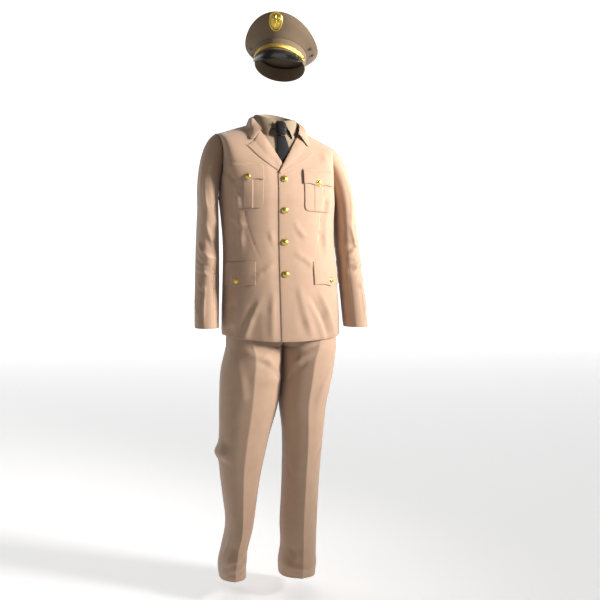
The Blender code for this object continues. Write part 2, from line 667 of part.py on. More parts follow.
def place_on(surface, x, height):
    """across and up of the left half's point that has this x and height, found by halving."""
    x, height = np.broadcast_arrays(np.asarray(x, float), np.asarray(height, float))
    low_a, high_a = np.zeros(x.shape), np.ones(x.shape)
    for _ in range(26):
        across = (low_a + high_a) / 2
        low_u, high_u = np.zeros(x.shape), np.full(x.shape, 2.0)
        for _ in range(26):
            up = (low_u + high_u) / 2
            above = surface(across, up)[..., 2] > height
            low_u, high_u = np.where(above, low_u, up), np.where(above, up, high_u)
        beyond = surface(across, up)[..., 0] > x
        low_a, high_a = np.where(beyond, low_a, across), np.where(beyond, across, high_a)
    return across, up


def on_front(x, height, out, side):
    """Points on a front at x and height on its own side, moved out along its normals."""
    across, up = place_on(coat_front, x, height)
    return front_sheet(across, up, side) + front_normals(across, up, side) * np.asarray(out)[..., None]


def roll_edge(height):
    """x of the front's edge where it rolls over into the lapel."""
    sine = np.clip((height - CHEST_HEIGHT) / (COAT_BACK.neck_z - CHEST_HEIGHT), 0, 1)
    return coat_front(np.zeros_like(height), 1 + np.arcsin(sine) / (math.pi / 2))[..., 0]


# The lapel in x and height: where it starts at the break, its point, and the notch in its top edge.
LAPEL_TIP = (0.1080, 1.4275)
NOTCH = (0.0845, 1.4465)
GORGE_TOP = 1.4870
LAPEL_START = {1: (1.3525, -0.0105, 1.3475), -1: (1.3860, 0.0170, 1.3585)}
LAPEL_LIFT = 0.0025
LAPEL_PUFF = 0.0020


def lapel(side):
    """The turned-back front as a surface: a from the roll at 0 to the outer edge, b from the break up."""
    roll_from, edge_x, edge_z = LAPEL_START[side]

    def surface(a, b):
        roll_z = lerp(roll_from, GORGE_TOP, b)
        roll_x = roll_edge(roll_z) + 0.0003
        belly = 0.004 * np.sin(math.pi * np.clip(b, 0, 1))
        out_x, out_z = lerp(edge_x, LAPEL_TIP[0], b) + belly, lerp(edge_z, LAPEL_TIP[1], b) - belly
        x, z = lerp(roll_x, out_x, a), lerp(roll_z, out_z, a)
        knee = 0.62
        top_x = np.where(a < knee, lerp(roll_edge(GORGE_TOP + 0 * a), NOTCH[0], a / knee),
                         lerp(NOTCH[0], LAPEL_TIP[0], (a - knee) / (1 - knee)))
        top_z = np.where(a < knee, lerp(GORGE_TOP, NOTCH[1], a / knee),
                         lerp(NOTCH[1], LAPEL_TIP[1], (a - knee) / (1 - knee)))
        end_x = lerp(roll_edge(GORGE_TOP + 0 * a), LAPEL_TIP[0], a)
        end_z = lerp(GORGE_TOP, LAPEL_TIP[1], a)
        pull = np.clip(b, 0, 1) ** 4
        x, z = x + pull * (top_x - end_x), z + pull * (top_z - end_z)
        lift = LAPEL_LIFT + LAPEL_PUFF * np.sin(math.pi * np.clip(a * 1.6, 0, 1)) * np.clip(0.3 + b, 0, 1)
        return posed(on_front(x, z, lift, side))

    return surface


# The collar's outer edge on the coat, from the centre back to the front end at the notch.
EdgeKey = namedtuple("EdgeKey", "share x height face")
COLLAR_EDGE = (
    EdgeKey(0.00, 0.0005, 1.4990, 1),
    EdgeKey(0.18, 0.0430, 1.4975, 1),
    EdgeKey(0.34, 0.0740, 1.4990, 1),
    EdgeKey(0.47, 0.0875, 1.5015, 1),
    EdgeKey(0.55, 0.0900, 0.0, 0),
    EdgeKey(0.64, 0.0950, 1.4900, -1),
    EdgeKey(0.82, 0.0960, 1.4700, -1),
    EdgeKey(1.00, 0.0975, 1.4500, -1),
)
FoldKey = namedtuple("FoldKey", "share x y height")
COLLAR_FOLD = (
    FoldKey(0.00, 0.0000, 0.0720, 1.5530),
    FoldKey(0.18, 0.0355, 0.0640, 1.5515),
    FoldKey(0.36, 0.0630, 0.0410, 1.5470),
    FoldKey(0.52, 0.0745, 0.0120, 1.5400),
    FoldKey(0.68, 0.0755, -0.0180, 1.5300),
    FoldKey(0.84, 0.0700, -0.0480, 1.5130),
    FoldKey(1.00, 0.0610, -0.0745, 1.4910),
)
COLLAR_FOOT = (
    FoldKey(0.00, 0.0000, 0.0605, 1.5235),
    FoldKey(0.18, 0.0370, 0.0545, 1.5225),
    FoldKey(0.36, 0.0660, 0.0350, 1.5190),
    FoldKey(0.52, 0.0755, 0.0120, 1.5165),
    FoldKey(0.68, 0.0755, -0.0150, 1.5140),
    FoldKey(0.84, 0.0690, -0.0450, 1.5045),
    FoldKey(1.00, 0.0590, -0.0735, 1.4850),
)
COLLAR_LIFT = 0.0060


def keyed(keys, points, share):
    """A smooth path through points kept at the keys' shares."""
    shares = [k.share for k in keys]
    return np.stack([curve_through(shares, points[:, i], share) for i in range(3)], axis=-1)


def collar_edge_points():
    found = []
    for key in COLLAR_EDGE:
        if key.face == 0:
            t = (key.x - COAT_BACK.neck_x) / (COAT_BACK.tip_x - COAT_BACK.neck_x)
            slope = (COAT_BACK.neck_z - COAT_BACK.tip_z) / (COAT_BACK.tip_x - COAT_BACK.neck_x)
            found.append(np.array(shoulder_line(COAT_BACK, t)) + np.array([slope, 0, 1]) * COLLAR_LIFT)
            continue
        surface = coat_back if key.face > 0 else coat_front
        across, up = place_on(surface, key.x, key.height)
        point = surface(across, up)
        normal = normals_of(surface, across, np.clip(up, 0.002, 1.998), -1 if key.face > 0 else 1)
        found.append(point + normal * COLLAR_LIFT)
    return np.array(found)


def coat_collar():
    """The coat's collar: b 0 the stand's foot, 1 the fold, 2 the leaf's edge."""
    edge = collar_edge_points()
    fold = np.array([[k.x, k.y, k.height] for k in COLLAR_FOLD])
    foot = np.array([[k.x, k.y, k.height] for k in COLLAR_FOOT])
    gorge = on_front(np.array([NOTCH[0] + 0.001]), np.array([NOTCH[1] + 0.0030]), COLLAR_LIFT, 1)[0]

    def surface(a, b):
        q = np.abs(a)
        low, top, out = keyed(COLLAR_FOOT, foot, q), keyed(COLLAR_FOLD, fold, q), keyed(COLLAR_EDGE, edge, q)
        rise = np.clip(b, 0, 1)[..., None]
        fall = np.clip(b - 1, 0, 1)[..., None]
        stand = lerp(low, top, rise)
        leaf = lerp(top, out, fall)
        round_out = out - top
        round_out = round_out * np.array([1, 1, 0])
        leaf = leaf + round_out * (0.42 * np.sin(math.pi * fall) ** 0.8 * (1 - fall))
        leaf = leaf + np.array([0, 0, 0.002]) * np.sin(math.pi * fall)
        end_top, end_out = fold[-1], edge[-1]
        knee = 0.60
        down_gorge, past_notch = fall / knee, (fall - knee) / (1 - knee)
        path = np.where(fall < knee, lerp(end_top, gorge, down_gorge), lerp(gorge, end_out, past_notch))
        pull = (q**8)[..., None]
        leaf = leaf + pull * (path - leaf)
        points = np.where(b[..., None] <= 1, stand, leaf)
        return posed(points * stack(np.where(a < 0, -1.0, 1.0), 1.0, 1.0))

    return surface


def build_collars(cloth, shirt_cloth):
    ends = np.linspace(-1, 1, 19)
    wall("shirt_collar", shirt_collar, ends, np.arange(7.0), SHIRT_CLOTH, shirt_cloth)
    half = np.array([0, 0.18, 0.34, 0.45, 0.55, 0.65, 0.76, 0.88, 0.95, 1])
    ends = np.concatenate([-half[:0:-1], half])
    wall("coat_collar", coat_collar(), ends, [0, 0.5, 1, 1.12, 1.35, 1.6, 1.8, 2.0], COAT_CLOTH, cloth)
    for side, word in ((1, "left"), (-1, "right")):
        wall(f"lapel_{word}", lapel(side), [0, 0.12, 0.36, 0.62, 0.82, 1.0],
             [0, 0.15, 0.32, 0.5, 0.68, 0.84, 0.94, 1.0], COAT_CLOTH, cloth, side)


POCKET_X = (0.0660, 0.1585)
POCKET_Z = (1.2360, 1.3560)
POCKET_CORNER = 0.014
POCKET_GAP = 0.0015
CHEST_FLAP_X = (0.0635, 0.1620)
CHEST_FLAP_Z = (1.3230, 1.3720)
HIP_FLAP_ACROSS = (0.290, 0.760)
HIP_FLAP_Z = (0.9990, 1.0730)
FLAP_POINT = 0.0060
FLAP_SCALLOP = 0.0045
CHEST_BUTTON_Z = 1.3310
HIP_BUTTON_Z = 1.0130


def chest_pocket(side):
    """A patch pocket with a box pleat down its middle and round lower corners."""
    width = POCKET_X[1] - POCKET_X[0]

    def surface(a, b):
        x = lerp(*POCKET_X, a)
        past = np.clip((np.abs(a - 0.5) * width - width / 2 + POCKET_CORNER) / POCKET_CORNER, 0, 1)
        foot = POCKET_Z[0] + POCKET_CORNER * (1 - np.sqrt(1 - past**2))
        pleat = smooth((0.16 - np.abs(a - 0.5)) / 0.025)
        out = POCKET_GAP + POCKET_CLOTH + PLEAT_RISE * pleat
        return posed(on_front(x, lerp(foot, POCKET_Z[1], b), out, side))

    return surface


def flap_foot(a, low):
    """The scalloped lower edge of a flap, with its point in the middle."""
    off_centre = np.abs(2 * a - 1)
    return low - FLAP_POINT * (1 - off_centre) + FLAP_SCALLOP * np.sin(math.pi * np.clip(off_centre, 0, 1))


def chest_flap(side):
    def surface(a, b):
        height = lerp(flap_foot(a, CHEST_FLAP_Z[0]), CHEST_FLAP_Z[1], b)
        lift = lerp(0.0070, 0.0032, smooth((b - 0.76) / 0.24))
        return posed(on_front(lerp(*CHEST_FLAP_X, a), height, lift, side))

    return surface


def front_up_at(across, height):
    """up of the front's points below the chest line at these heights."""
    hem = coat_front(across, 0 * across)[..., 2]
    return (height - hem) / (CHEST_HEIGHT - hem)


def hip_flap(side):
    def surface(a, b):
        across = lerp(*HIP_FLAP_ACROSS, a)
        up = front_up_at(across, lerp(flap_foot(a, HIP_FLAP_Z[0]), HIP_FLAP_Z[1], b))
        out = lerp(0.0042, 0.0024, smooth((b - 0.6) / 0.4))[..., None]
        return posed(front_sheet(across, up, side) + front_normals(across, up, side) * out)

    return surface


def at_one(surface, a, b):
    """A surface's point, and its normal as a left or centre piece has it, at one place."""
    one_a, one_b = np.array([[a]], float), np.array([[b]], float)
    return Vector(surface(one_a, one_b)[0, 0]), Vector(normals_of(surface, one_a, one_b)[0, 0])


def turned(name, profile, radius, segments, material, place, normal, stand=0.0006):
    """A turned piece whose axis is the normal, its back just off the place."""
    rings = []
    for ring in profile:
        for k in range(segments):
            turn = 2 * math.pi * k / segments
            rings.append((radius * ring.radius * math.cos(turn), radius * ring.radius * math.sin(turn),
                          radius * ring.height))
    faces = grid_faces(len(profile), segments, closed=True)
    last = (len(profile) - 1) * segments
    faces.append(tuple(range(segments - 1, -1, -1)))
    faces.append(tuple(last + k for k in range(segments)))
    piece = add_mesh(name, rings, faces, material, 40)
    piece.location = place + normal * stand
    piece.rotation_euler = normal.to_track_quat("Z", "Y").to_euler()
    return piece


def build_pockets(cloth, gold):
    pleat = [0, 0.12, 0.33, 0.36, 0.5, 0.64, 0.67, 0.88, 1.0]
    for side, word in ((1, "left"), (-1, "right")):
        wall(f"chest_pocket_{word}", chest_pocket(side), pleat, [0, 0.22, 0.48, 0.74, 1], POCKET_CLOTH, cloth,
             side)
        chest, hip = chest_flap(side), hip_flap(side)
        wall(f"chest_flap_{word}", chest, np.linspace(0, 1, 11), [0, 0.35, 0.7, 1], 0.0018, cloth, side)
        wall(f"hip_flap_{word}", hip, np.linspace(0, 1, 11), [0, 0.35, 0.7, 1], 0.0018, cloth, side)
        places = (("chest", chest, CHEST_BUTTON_Z, CHEST_FLAP_Z), ("hip", hip, HIP_BUTTON_Z, HIP_FLAP_Z))
        for kind, flap, height, span in places:
            low = span[0] - FLAP_POINT
            point, normal = at_one(flap, 0.5, (height - low) / (span[1] - low))
            turned(f"{kind}_button_{word}", BUTTON_PROFILE, POCKET_BUTTON_RADIUS, 10, gold, point,
                   normal * side)


def build_front_buttons(gold):
    def surface(a, b):
        return posed(on_front(a, b, 0.0, 1))

    for count, (height, stand) in enumerate(zip(FRONT_BUTTON_HEIGHTS, FRONT_BUTTON_STANDS), start=1):
        point, normal = at_one(surface, 0.0, height)
        turned(f"front_button_{count}", BUTTON_PROFILE, FRONT_BUTTON_RADIUS, 12, gold, point, normal, stand)


TieRow = namedtuple("TieRow", "height y half_width half_depth")
TIE_KNOT = (
    TieRow(1.4770, -0.0830, 0.0115, 0.0060),
    TieRow(1.4810, -0.0815, 0.0145, 0.0085),
    TieRow(1.4930, -0.0765, 0.0170, 0.0100),
    TieRow(1.5080, -0.0710, 0.0175, 0.0095),
    TieRow(1.5180, -0.0675, 0.0150, 0.0075),
    TieRow(1.5225, -0.0660, 0.0110, 0.0045),
)
TIE_BLADE = (
    TieRow(1.1300, 0.0045, 0.0050, 0.0),
    TieRow(1.1650, 0.0045, 0.0400, 0.0),
    TieRow(1.3000, 0.0045, 0.0345, 0.0),
    TieRow(1.3800, 0.0045, 0.0290, 0.0),
    TieRow(1.4400, 0.0055, 0.0190, 0.0),
    TieRow(1.4764, 0.0095, 0.0125, 0.0),
)
TIE_LEAN = 0.07
TIE_LEAN_HEIGHT = 0.040
TIE_X = 0.003


def tie_blade(a, height):
    """The blade's outer face, in front of the shirt by the table's y."""
    side = math.pi / 2
    up_low = (height - SHIRT[0].height) / (CHEST_HEIGHT - SHIRT[0].height)
    zero = 0 * height
    low, high = zero, zero + 2.0
    for _ in range(26):
        up = (low + high) / 2
        above = panel_with_neck(SHIRT, SHIRT_FRONT, -1, zero, up, side, SHIRT[0].height)[..., 2] > height
        low, high = np.where(above, low, up), np.where(above, up, high)
    up = np.where(height < CHEST_HEIGHT, up_low, up)
    shirt_y = panel_with_neck(SHIRT, SHIRT_FRONT, -1, zero, up, side, SHIRT[0].height)[..., 1]
    x = TIE_X + a * column(TIE_BLADE, "half_width", height)
    x = x + TIE_LEAN * np.minimum(TIE_BLADE[-1].height - height, TIE_LEAN_HEIGHT)
    bow = 0.0012 * (1 - a**2)
    return posed(stack(x, shirt_y - column(TIE_BLADE, "y", height) - bow, height))


def build_tie(black):
    turns = np.linspace(0, 2 * math.pi, 17)[:-1]
    points = []
    for row in TIE_KNOT:
        x = TIE_X + row.half_width * signed_power(np.sin(turns), 0.85)
        y = row.y - row.half_depth * signed_power(np.cos(turns), 0.85)
        points.append(posed(stack(x, y, row.height)))
    faces = grid_faces(len(TIE_KNOT), len(turns), closed=True)
    last = (len(TIE_KNOT) - 1) * len(turns)
    faces += [tuple(range(len(turns) - 1, -1, -1)), tuple(last + k for k in range(len(turns)))]
    add_mesh("tie_knot", np.concatenate(points), faces, black)
    wall("tie_blade", tie_blade, [-1, 0, 1], [r.height for r in TIE_BLADE], 0.003, black)


def cap_place(x, y, z):
    """Points of the cap, from its own upright place to how it is worn."""
    points = stack(x, y, z)
    turn = np.array(CAP_TURN.to_matrix())
    centre = np.array(CAP_AT) - np.array([0, 0, HELD_HEIGHT])
    return points @ turn.T + centre


def crown(a, b):
    """The crown's outer face: a round it from the front, b counts the table's rows."""
    def at(name):
        return curve_through(range(len(CROWN)), [getattr(r, name) for r in CROWN], b)

    c = np.cos(a)
    far = np.where(c > 0, at("z_front"), at("z_back"))
    z = lerp(at("z_side"), far, np.abs(c) ** 1.6)
    return cap_place(at("half_width") * np.sin(a), -np.where(c > 0, at("front"), at("back")) * c, z)


def band_oval(a, out):
    return (BAND_HALF_WIDTH + out) * np.sin(a), -(BAND_HALF_DEPTH + out) * np.cos(a)


def band(a, b):
    x, y = band_oval(a, 0.0012 * b)
    return cap_place(x, y, BAND_HEIGHT * b + 0 * a)


def peak(a, b):
    """The peak: a from side to side, b from its free edge at 0 to the band at 1."""
    turn = a * PEAK_HALF_ANGLE
    x, y = band_oval(turn, 0.0028)
    reach = (1 - b) * (0.004 + (PEAK_LENGTH - 0.004) * np.clip(np.cos(a * math.pi / 2), 0, 1) ** 0.6)
    size = np.hypot(x, y)
    slope = PEAK_SLOPE + 0.20 * (1 - b)
    out = reach * np.cos(slope)
    return cap_place(x * (1 + out / size), y * (1 + out / size), 0.004 - reach * np.sin(slope))


def strap(a, b):
    x, y = band_oval(a * STRAP_HALF_ANGLE, 0.0012 + STRAP_THICK)
    middle = lerp(STRAP_FRONT_Z, STRAP_END_Z, np.abs(a) ** 1.6)
    return cap_place(x, y, middle + (b - 0.5) * STRAP_WIDTH)


VENT_STAND = 0.0013
BADGE_ROW = 2.0
BADGE_CLOTH_GAP = 0.0005
BADGE_THICK = 0.0022
BADGE_RIM = 0.0018
BADGE_DOME = 0.0022


def badge(turn, radius):
    """The oval badge's face on the raised front: a raised rim, and a low dome inside it."""
    right, up = BADGE_HALF_WIDTH * radius * np.sin(turn), BADGE_HALF_HEIGHT * radius * np.cos(turn)
    row_above, row_below = 0.0220, 0.0308
    row = BADGE_ROW + np.where(up > 0, up / row_above, up / row_below)
    angle = right / 0.125
    rim = BADGE_RIM * np.exp(-(((radius - 0.88) / 0.07) ** 2))
    dome = BADGE_DOME * np.clip(1 - (radius / 0.7) ** 2, 0, 1)
    lift = (BADGE_CLOTH_GAP + BADGE_THICK + rim + dome)[..., None]
    return crown(angle, row) + normals_of(crown, angle, row) * lift


def build_cap(dark, gold, black):
    round_steps = np.linspace(0, 2 * math.pi, 29)[:-1]
    wall("cap_crown", crown, round_steps, [0, 1, 2, 3, 3.6, 4.3, 5, 6.3, 8], CAP_CLOTH, dark,
         closed=True, crown=True)
    wall("cap_band", band, round_steps, [0, 0.5, 1], CAP_CLOTH, dark, closed=True)
    wall("cap_peak", peak, np.linspace(-1, 1, 17), [0, 0.35, 0.7, 1], PEAK_THICK, black)
    wall("cap_strap", strap, np.linspace(-1, 1, 21), [0, 1], STRAP_THICK, gold)
    oval_steps = np.linspace(0, 2 * math.pi, 21)[:-1]
    wall("cap_badge", badge, -oval_steps, [1, 0.88, 0.76, 0.45, 0.15], BADGE_THICK, gold,
         closed=True, crown=True)
    for side, word in ((1, "left"), (-1, "right")):
        point, normal = at_one(band, side * 1.33, 0.25)
        turned(f"cap_button_{word}", BUTTON_PROFILE, CAP_BUTTON_RADIUS, 12, gold, point, normal)
    for count, (angle, row) in enumerate(((1.40, 1.5), (1.72, 1.6), (-1.40, 1.5), (-1.72, 1.6)), start=1):
        point, normal = at_one(crown, angle, row)
        bpy.ops.mesh.primitive_torus_add(major_radius=0.0034, minor_radius=0.0010, major_segments=12,
                                         minor_segments=4, location=point + normal * VENT_STAND,
                                         rotation=normal.to_track_quat("Z", "Y").to_euler())
        eyelet = bpy.context.object
        eyelet.name = f"cap_vent_{count}"
        eyelet.data.materials.append(dark)
        eyelet.data.shade_smooth()


def main():
    khaki = finish("khaki_twill", KHAKI, 0.85)
    shirt_tan = finish("shirt_poplin", SHIRT_TAN, 0.8)
    gold = finish("gold_metal", GOLD, 0.25, 1.0)
    build_coat(khaki)
    build_trousers(khaki)
    build_shirt(shirt_tan)
    build_collars(khaki, shirt_tan)
    build_pockets(khaki, gold)
    build_front_buttons(gold)
    build_tie(finish("tie_black", TIE_BLACK, 0.5))
    build_cap(finish("cap_cloth", KHAKI_DARK, 0.85), gold, finish("peak_black", PEAK_BLACK, 0.12))


main()
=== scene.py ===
# %% [markdown]
# # A khaki ceremonial uniform
#
# The uniform is a set of sewn pieces: a peaked cap, a coat, a shirt with a tie, and trousers. A fixed
# frame of thin, plain solids is already there. Every cell below makes one piece finer, or gives it its
# finish, and leaves it exactly where the frame has it.
#
# The front faces -Y, +Z is up and +X is the uniform's own left. Heights in the tables are above the
# ground.

# %% Load the frame
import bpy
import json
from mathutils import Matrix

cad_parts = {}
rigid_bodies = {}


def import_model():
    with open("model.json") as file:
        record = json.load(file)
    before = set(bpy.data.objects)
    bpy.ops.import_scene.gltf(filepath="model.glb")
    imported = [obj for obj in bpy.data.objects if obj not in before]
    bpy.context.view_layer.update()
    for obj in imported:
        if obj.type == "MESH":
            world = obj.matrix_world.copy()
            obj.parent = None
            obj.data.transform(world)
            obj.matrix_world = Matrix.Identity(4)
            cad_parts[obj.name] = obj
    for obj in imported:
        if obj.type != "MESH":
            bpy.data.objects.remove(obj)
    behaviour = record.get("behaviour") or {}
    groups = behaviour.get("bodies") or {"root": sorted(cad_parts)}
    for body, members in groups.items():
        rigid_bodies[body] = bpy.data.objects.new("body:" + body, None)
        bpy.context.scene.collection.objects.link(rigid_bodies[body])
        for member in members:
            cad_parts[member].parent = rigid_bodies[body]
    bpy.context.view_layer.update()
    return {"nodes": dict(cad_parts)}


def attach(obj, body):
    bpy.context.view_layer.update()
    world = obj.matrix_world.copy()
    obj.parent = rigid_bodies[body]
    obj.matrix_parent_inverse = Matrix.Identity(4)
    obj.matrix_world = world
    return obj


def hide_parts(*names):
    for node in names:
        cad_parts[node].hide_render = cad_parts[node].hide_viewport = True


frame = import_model()

import json
import math
from collections import namedtuple
from functools import partial

import bpy
import numpy as np
from mathutils import Euler, Vector

print("nodes in the frame:", len(frame["nodes"]))

# %% [markdown]
# ## Curves through measured places
#
# A chart gives a girth at a few heights. Cloth has no corners between them, so each column of a
# chart is read through a smooth curve. These small helpers are used by every garment.

# %% Read a chart smoothly
HELD_HEIGHT = 1.48
SEAM_GAP = 0.0003
def curve_through(xs, ys, at):
    """A smooth curve through (xs, ys), read at the given places."""
    xs, ys = np.asarray(xs, float), np.asarray(ys, float)
    slope = np.gradient(ys, xs)
    at = np.clip(at, xs[0], xs[-1])
    i = np.clip(np.searchsorted(xs, at) - 1, 0, len(xs) - 2)
    step = xs[i + 1] - xs[i]
    t = (at - xs[i]) / step
    start = (2 * t**3 - 3 * t**2 + 1) * ys[i] + (t**3 - 2 * t**2 + t) * step * slope[i]
    end = (-2 * t**3 + 3 * t**2) * ys[i + 1] + (t**3 - t**2) * step * slope[i + 1]
    return start + end


def column(rows, name, height):
    """One column of a table at the given heights."""
    return curve_through([r.height for r in rows], [getattr(r, name) for r in rows], height)


def counted(rows, name, place):
    """One column of a table whose rows are counted 0, 1, 2 and on."""
    return curve_through(range(len(rows)), [getattr(r, name) for r in rows], place)


def lerp(a, b, t):
    return a + (b - a) * t


def smooth(t):
    t = np.clip(t, 0, 1)
    return t * t * (3 - 2 * t)


def soft_ramp(t, rounding=0.03):
    """t above nought and nought below it, with the corner rounded."""
    return 0.5 * (t + np.sqrt(t * t + rounding * rounding))


def signed_power(value, power):
    return np.sign(value) * np.abs(value) ** power


def stack(x, y, z):
    return np.stack(np.broadcast_arrays(x, y, z), axis=-1).astype(float)


def from_ground(points):
    """Heights above the ground become heights from the origin."""
    moved = np.array(points, float)
    moved[..., 2] -= HELD_HEIGHT
    return moved

print("chart helpers ready, held height", HELD_HEIGHT)

# %% [markdown]
# ## Thin cloth walls
#
# Cloth is a sheet with a real thickness, a turned edge and a direction of weave. `sew_wall` samples a
# surface on a fine grid, sets an inner face behind it and closes the rim. Near each edge the cloth rolls
# in by half a millimetre, which draws the seams. Two UV maps go with it, both in metres: `cut` follows
# the weave, and `stitch` holds the way along and the distance from the nearest topstitched edge.

# %% Directions and lengths on a grid of points
GRID_ROLL = 0.0006
GRID_ROLL_WIDTH = 0.0014
SHEETS = {}


def grid_normals(points, closed, side):
    """Outward normals of a grid whose columns turn from front to left and whose rows rise."""
    if closed:
        around = np.roll(points, -1, axis=1) - np.roll(points, 1, axis=1)
    else:
        around = np.gradient(points, axis=1)
    rising = np.gradient(points, axis=0)
    normal = np.cross(around, rising) * side
    return normal / np.maximum(np.linalg.norm(normal, axis=-1, keepdims=True), 1e-12)


def arc_lengths(points, axis):
    """Length along the cloth from the first row or column, in metres."""
    step = np.linalg.norm(np.diff(points, axis=axis), axis=-1)
    zero = np.zeros_like(np.take(step, [0], axis=axis))
    return np.concatenate([zero, np.cumsum(step, axis=axis)], axis=axis)


def stitch_map(across, along, stitched):
    """For each point: the way along, and the distance from, its nearest stitched edge."""
    sides = {
        "left": (along, across),
        "right": (along, across[:, -1:] - across),
        "bottom": (across, along),
        "top": (across, along[-1:, :] - along),
    }
    way, near = np.zeros_like(across), np.full_like(across, 1.0)
    for name in stitched.split():
        run, distance = sides[name]
        closer = distance < near
        way, near = np.where(closer, run, way), np.where(closer, distance, near)
    return np.stack([way, near], axis=-1)


def spread(low, high, count, crisp=0.0):
    """Even steps from low to high, with one more just inside each end where the edge is to be crisp."""
    steps = np.linspace(low, high, count)
    if crisp:
        near = (high - low) * crisp
        steps = np.concatenate([steps[:1], [low + near], steps[1:-1], [high - near], steps[-1:]])
    return steps


print("cloth edges roll in by", GRID_ROLL, "m")

# %% Sew a wall
def quads_of(rows, columns, closed):
    """Corner numbers of a grid's faces, one row per face."""
    wide = columns if closed else columns - 1
    r, c = np.meshgrid(np.arange(rows - 1), np.arange(wide), indexing="ij")
    d = (c + 1) % columns
    low, high = r * columns, (r + 1) * columns
    faces = np.stack([low + c, low + d, high + d, high + c], axis=-1)
    return faces.reshape(-1, 4)


def rim_loop(rows, columns):
    """The border of an open grid, once round."""
    bottom = list(range(columns))
    right = [r * columns + columns - 1 for r in range(1, rows)]
    top = [(rows - 1) * columns + c for c in range(columns - 2, -1, -1)]
    left = [r * columns for r in range(rows - 2, 0, -1)]
    return bottom + right + top + left


def add_uv(mesh, name, per_point, count, period=None):
    """A UV map from values at the grid's points; the inner face has the outer face's values."""
    corners = np.empty(len(mesh.loops), dtype=np.int32)
    mesh.loops.foreach_get("vertex_index", corners)
    values = per_point.reshape(-1, 2)[corners % count].copy()
    if period:
        quads = len(corners) // 4 * 4
        u = values[:quads, 0].reshape(-1, 4)
        wraps = (u.max(axis=1, keepdims=True) - u.min(axis=1, keepdims=True)) > period / 2
        u += np.where(wraps & (u < period / 2), period, 0)
        values[:quads, 0] = u.reshape(-1)
    layer = mesh.uv_layers.new(name=name)
    layer.data.foreach_set("uv", values.astype(np.float32).reshape(-1))


def sew_wall(name, surface, a, b, thick, material, nodes, side=1, closed=False, crown=False,
             stitched="", roll=True):
    """One piece of cloth on the form of its solid, with weave and stitch maps."""
    a, b = np.meshgrid(np.asarray(a, float), np.asarray(b, float))
    points = surface(a, b)
    normal = grid_normals(points, closed, side)
    across, along = arc_lengths(points, 1), arc_lengths(points, 0)
    if roll and not crown:
        edge = np.minimum(along, along[-1:, :] - along)
        if not closed:
            edge = np.minimum(edge, np.minimum(across, across[:, -1:] - across))
        outer = points - normal * (GRID_ROLL * np.exp(-((edge / GRID_ROLL_WIDTH) ** 2)))[..., None]
    else:
        outer = points
    rows, columns = points.shape[:2]
    count = rows * columns
    inner = points - normal * thick
    quads = quads_of(rows, columns, closed)
    rims = []
    if closed:
        c = np.arange(columns)
        d = (c + 1) % columns
        rims.append(np.stack([d, c, count + c, count + d], axis=-1))
        if not crown:
            e = (rows - 1) * columns
            rims.append(np.stack([e + c, e + d, count + e + d, count + e + c], axis=-1))
    else:
        loop = np.array(rim_loop(rows, columns))
        after = np.roll(loop, -1)
        rims.append(np.stack([after, loop, count + loop, count + after], axis=-1))
    faces = np.concatenate([quads, count + quads[:, ::-1]] + rims).tolist()
    if crown:
        last = list(range((rows - 1) * columns, count))
        faces += [last, [count + i for i in reversed(last)]]
    if side < 0:
        faces = [list(reversed(f)) for f in faces]
    mesh = bpy.data.meshes.new(name)
    mesh.from_pydata(np.concatenate([outer.reshape(-1, 3), inner.reshape(-1, 3)]), [], faces)
    mesh.validate()
    period = None
    if closed:
        gap = np.linalg.norm(points[:, 0] - points[:, -1], axis=-1)
        period = float((across[:, -1] + gap).mean())
        across = across * (period / np.maximum(across[:, -1:] + gap[:, None], 1e-9))
    add_uv(mesh, "cut", np.stack([across, along], axis=-1), count, period)
    add_uv(mesh, "stitch", stitch_map(across, along, stitched), count)
    return finish_piece(name, mesh, material, nodes, points, closed)


def finish_piece(name, mesh, material, nodes, points, closed):
    """Links a cloth mesh, hides the frame's parts it replaces and keeps the flat size it was cut to."""
    mesh.materials.append(material)
    mesh.shade_smooth()
    mesh.set_sharp_from_angle(angle=math.radians(55))
    piece = bpy.data.objects.new(name, mesh)
    bpy.context.scene.collection.objects.link(piece)
    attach(piece, "root")
    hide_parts(*nodes)
    ring = np.concatenate([points, points[:, :1]], axis=1) if closed else points
    width = float(arc_lengths(ring, 1)[:, -1].max())
    length = float(arc_lengths(ring, 0)[-1].max())
    first, second = np.diff(ring, axis=0)[:, :-1], np.diff(ring, axis=1)[:-1]
    area = float(np.linalg.norm(np.cross(first, second), axis=-1).sum())
    SHEETS[name] = (width, length, area)
    return piece


def declare(piece):
    """States a cloth piece's cut: its flat width, length and area."""
    width, length, area = SHEETS[piece.name]
    area = min(max(area, 0.301 * width * length), width * length)
    print(f"{piece.name}: {width:.3f} x {length:.3f} m, {area:.4f} m2, {len(piece.data.polygons)} faces")


print("wall maker ready")

# %% [markdown]
# ## Soft folds
#
# A fold in wool cloth is a rounded ridge with a shallow trough on one side. It swells, thins out at both
# ends and is never quite even. A `Crease` is one stroke drawn on the cloth: where it starts and
# ends, how far it bows to the side, its width, and how far it rises. A negative rise is a trough.

# %% Draw creases on the cloth
Crease = namedtuple("Crease", "x1 z1 x2 z2 bow width rise")
ROUND = 2 * math.pi


def strokes(*rows):
    """A chart of creases, one row of numbers for each."""
    return [Crease(*row) for row in rows]


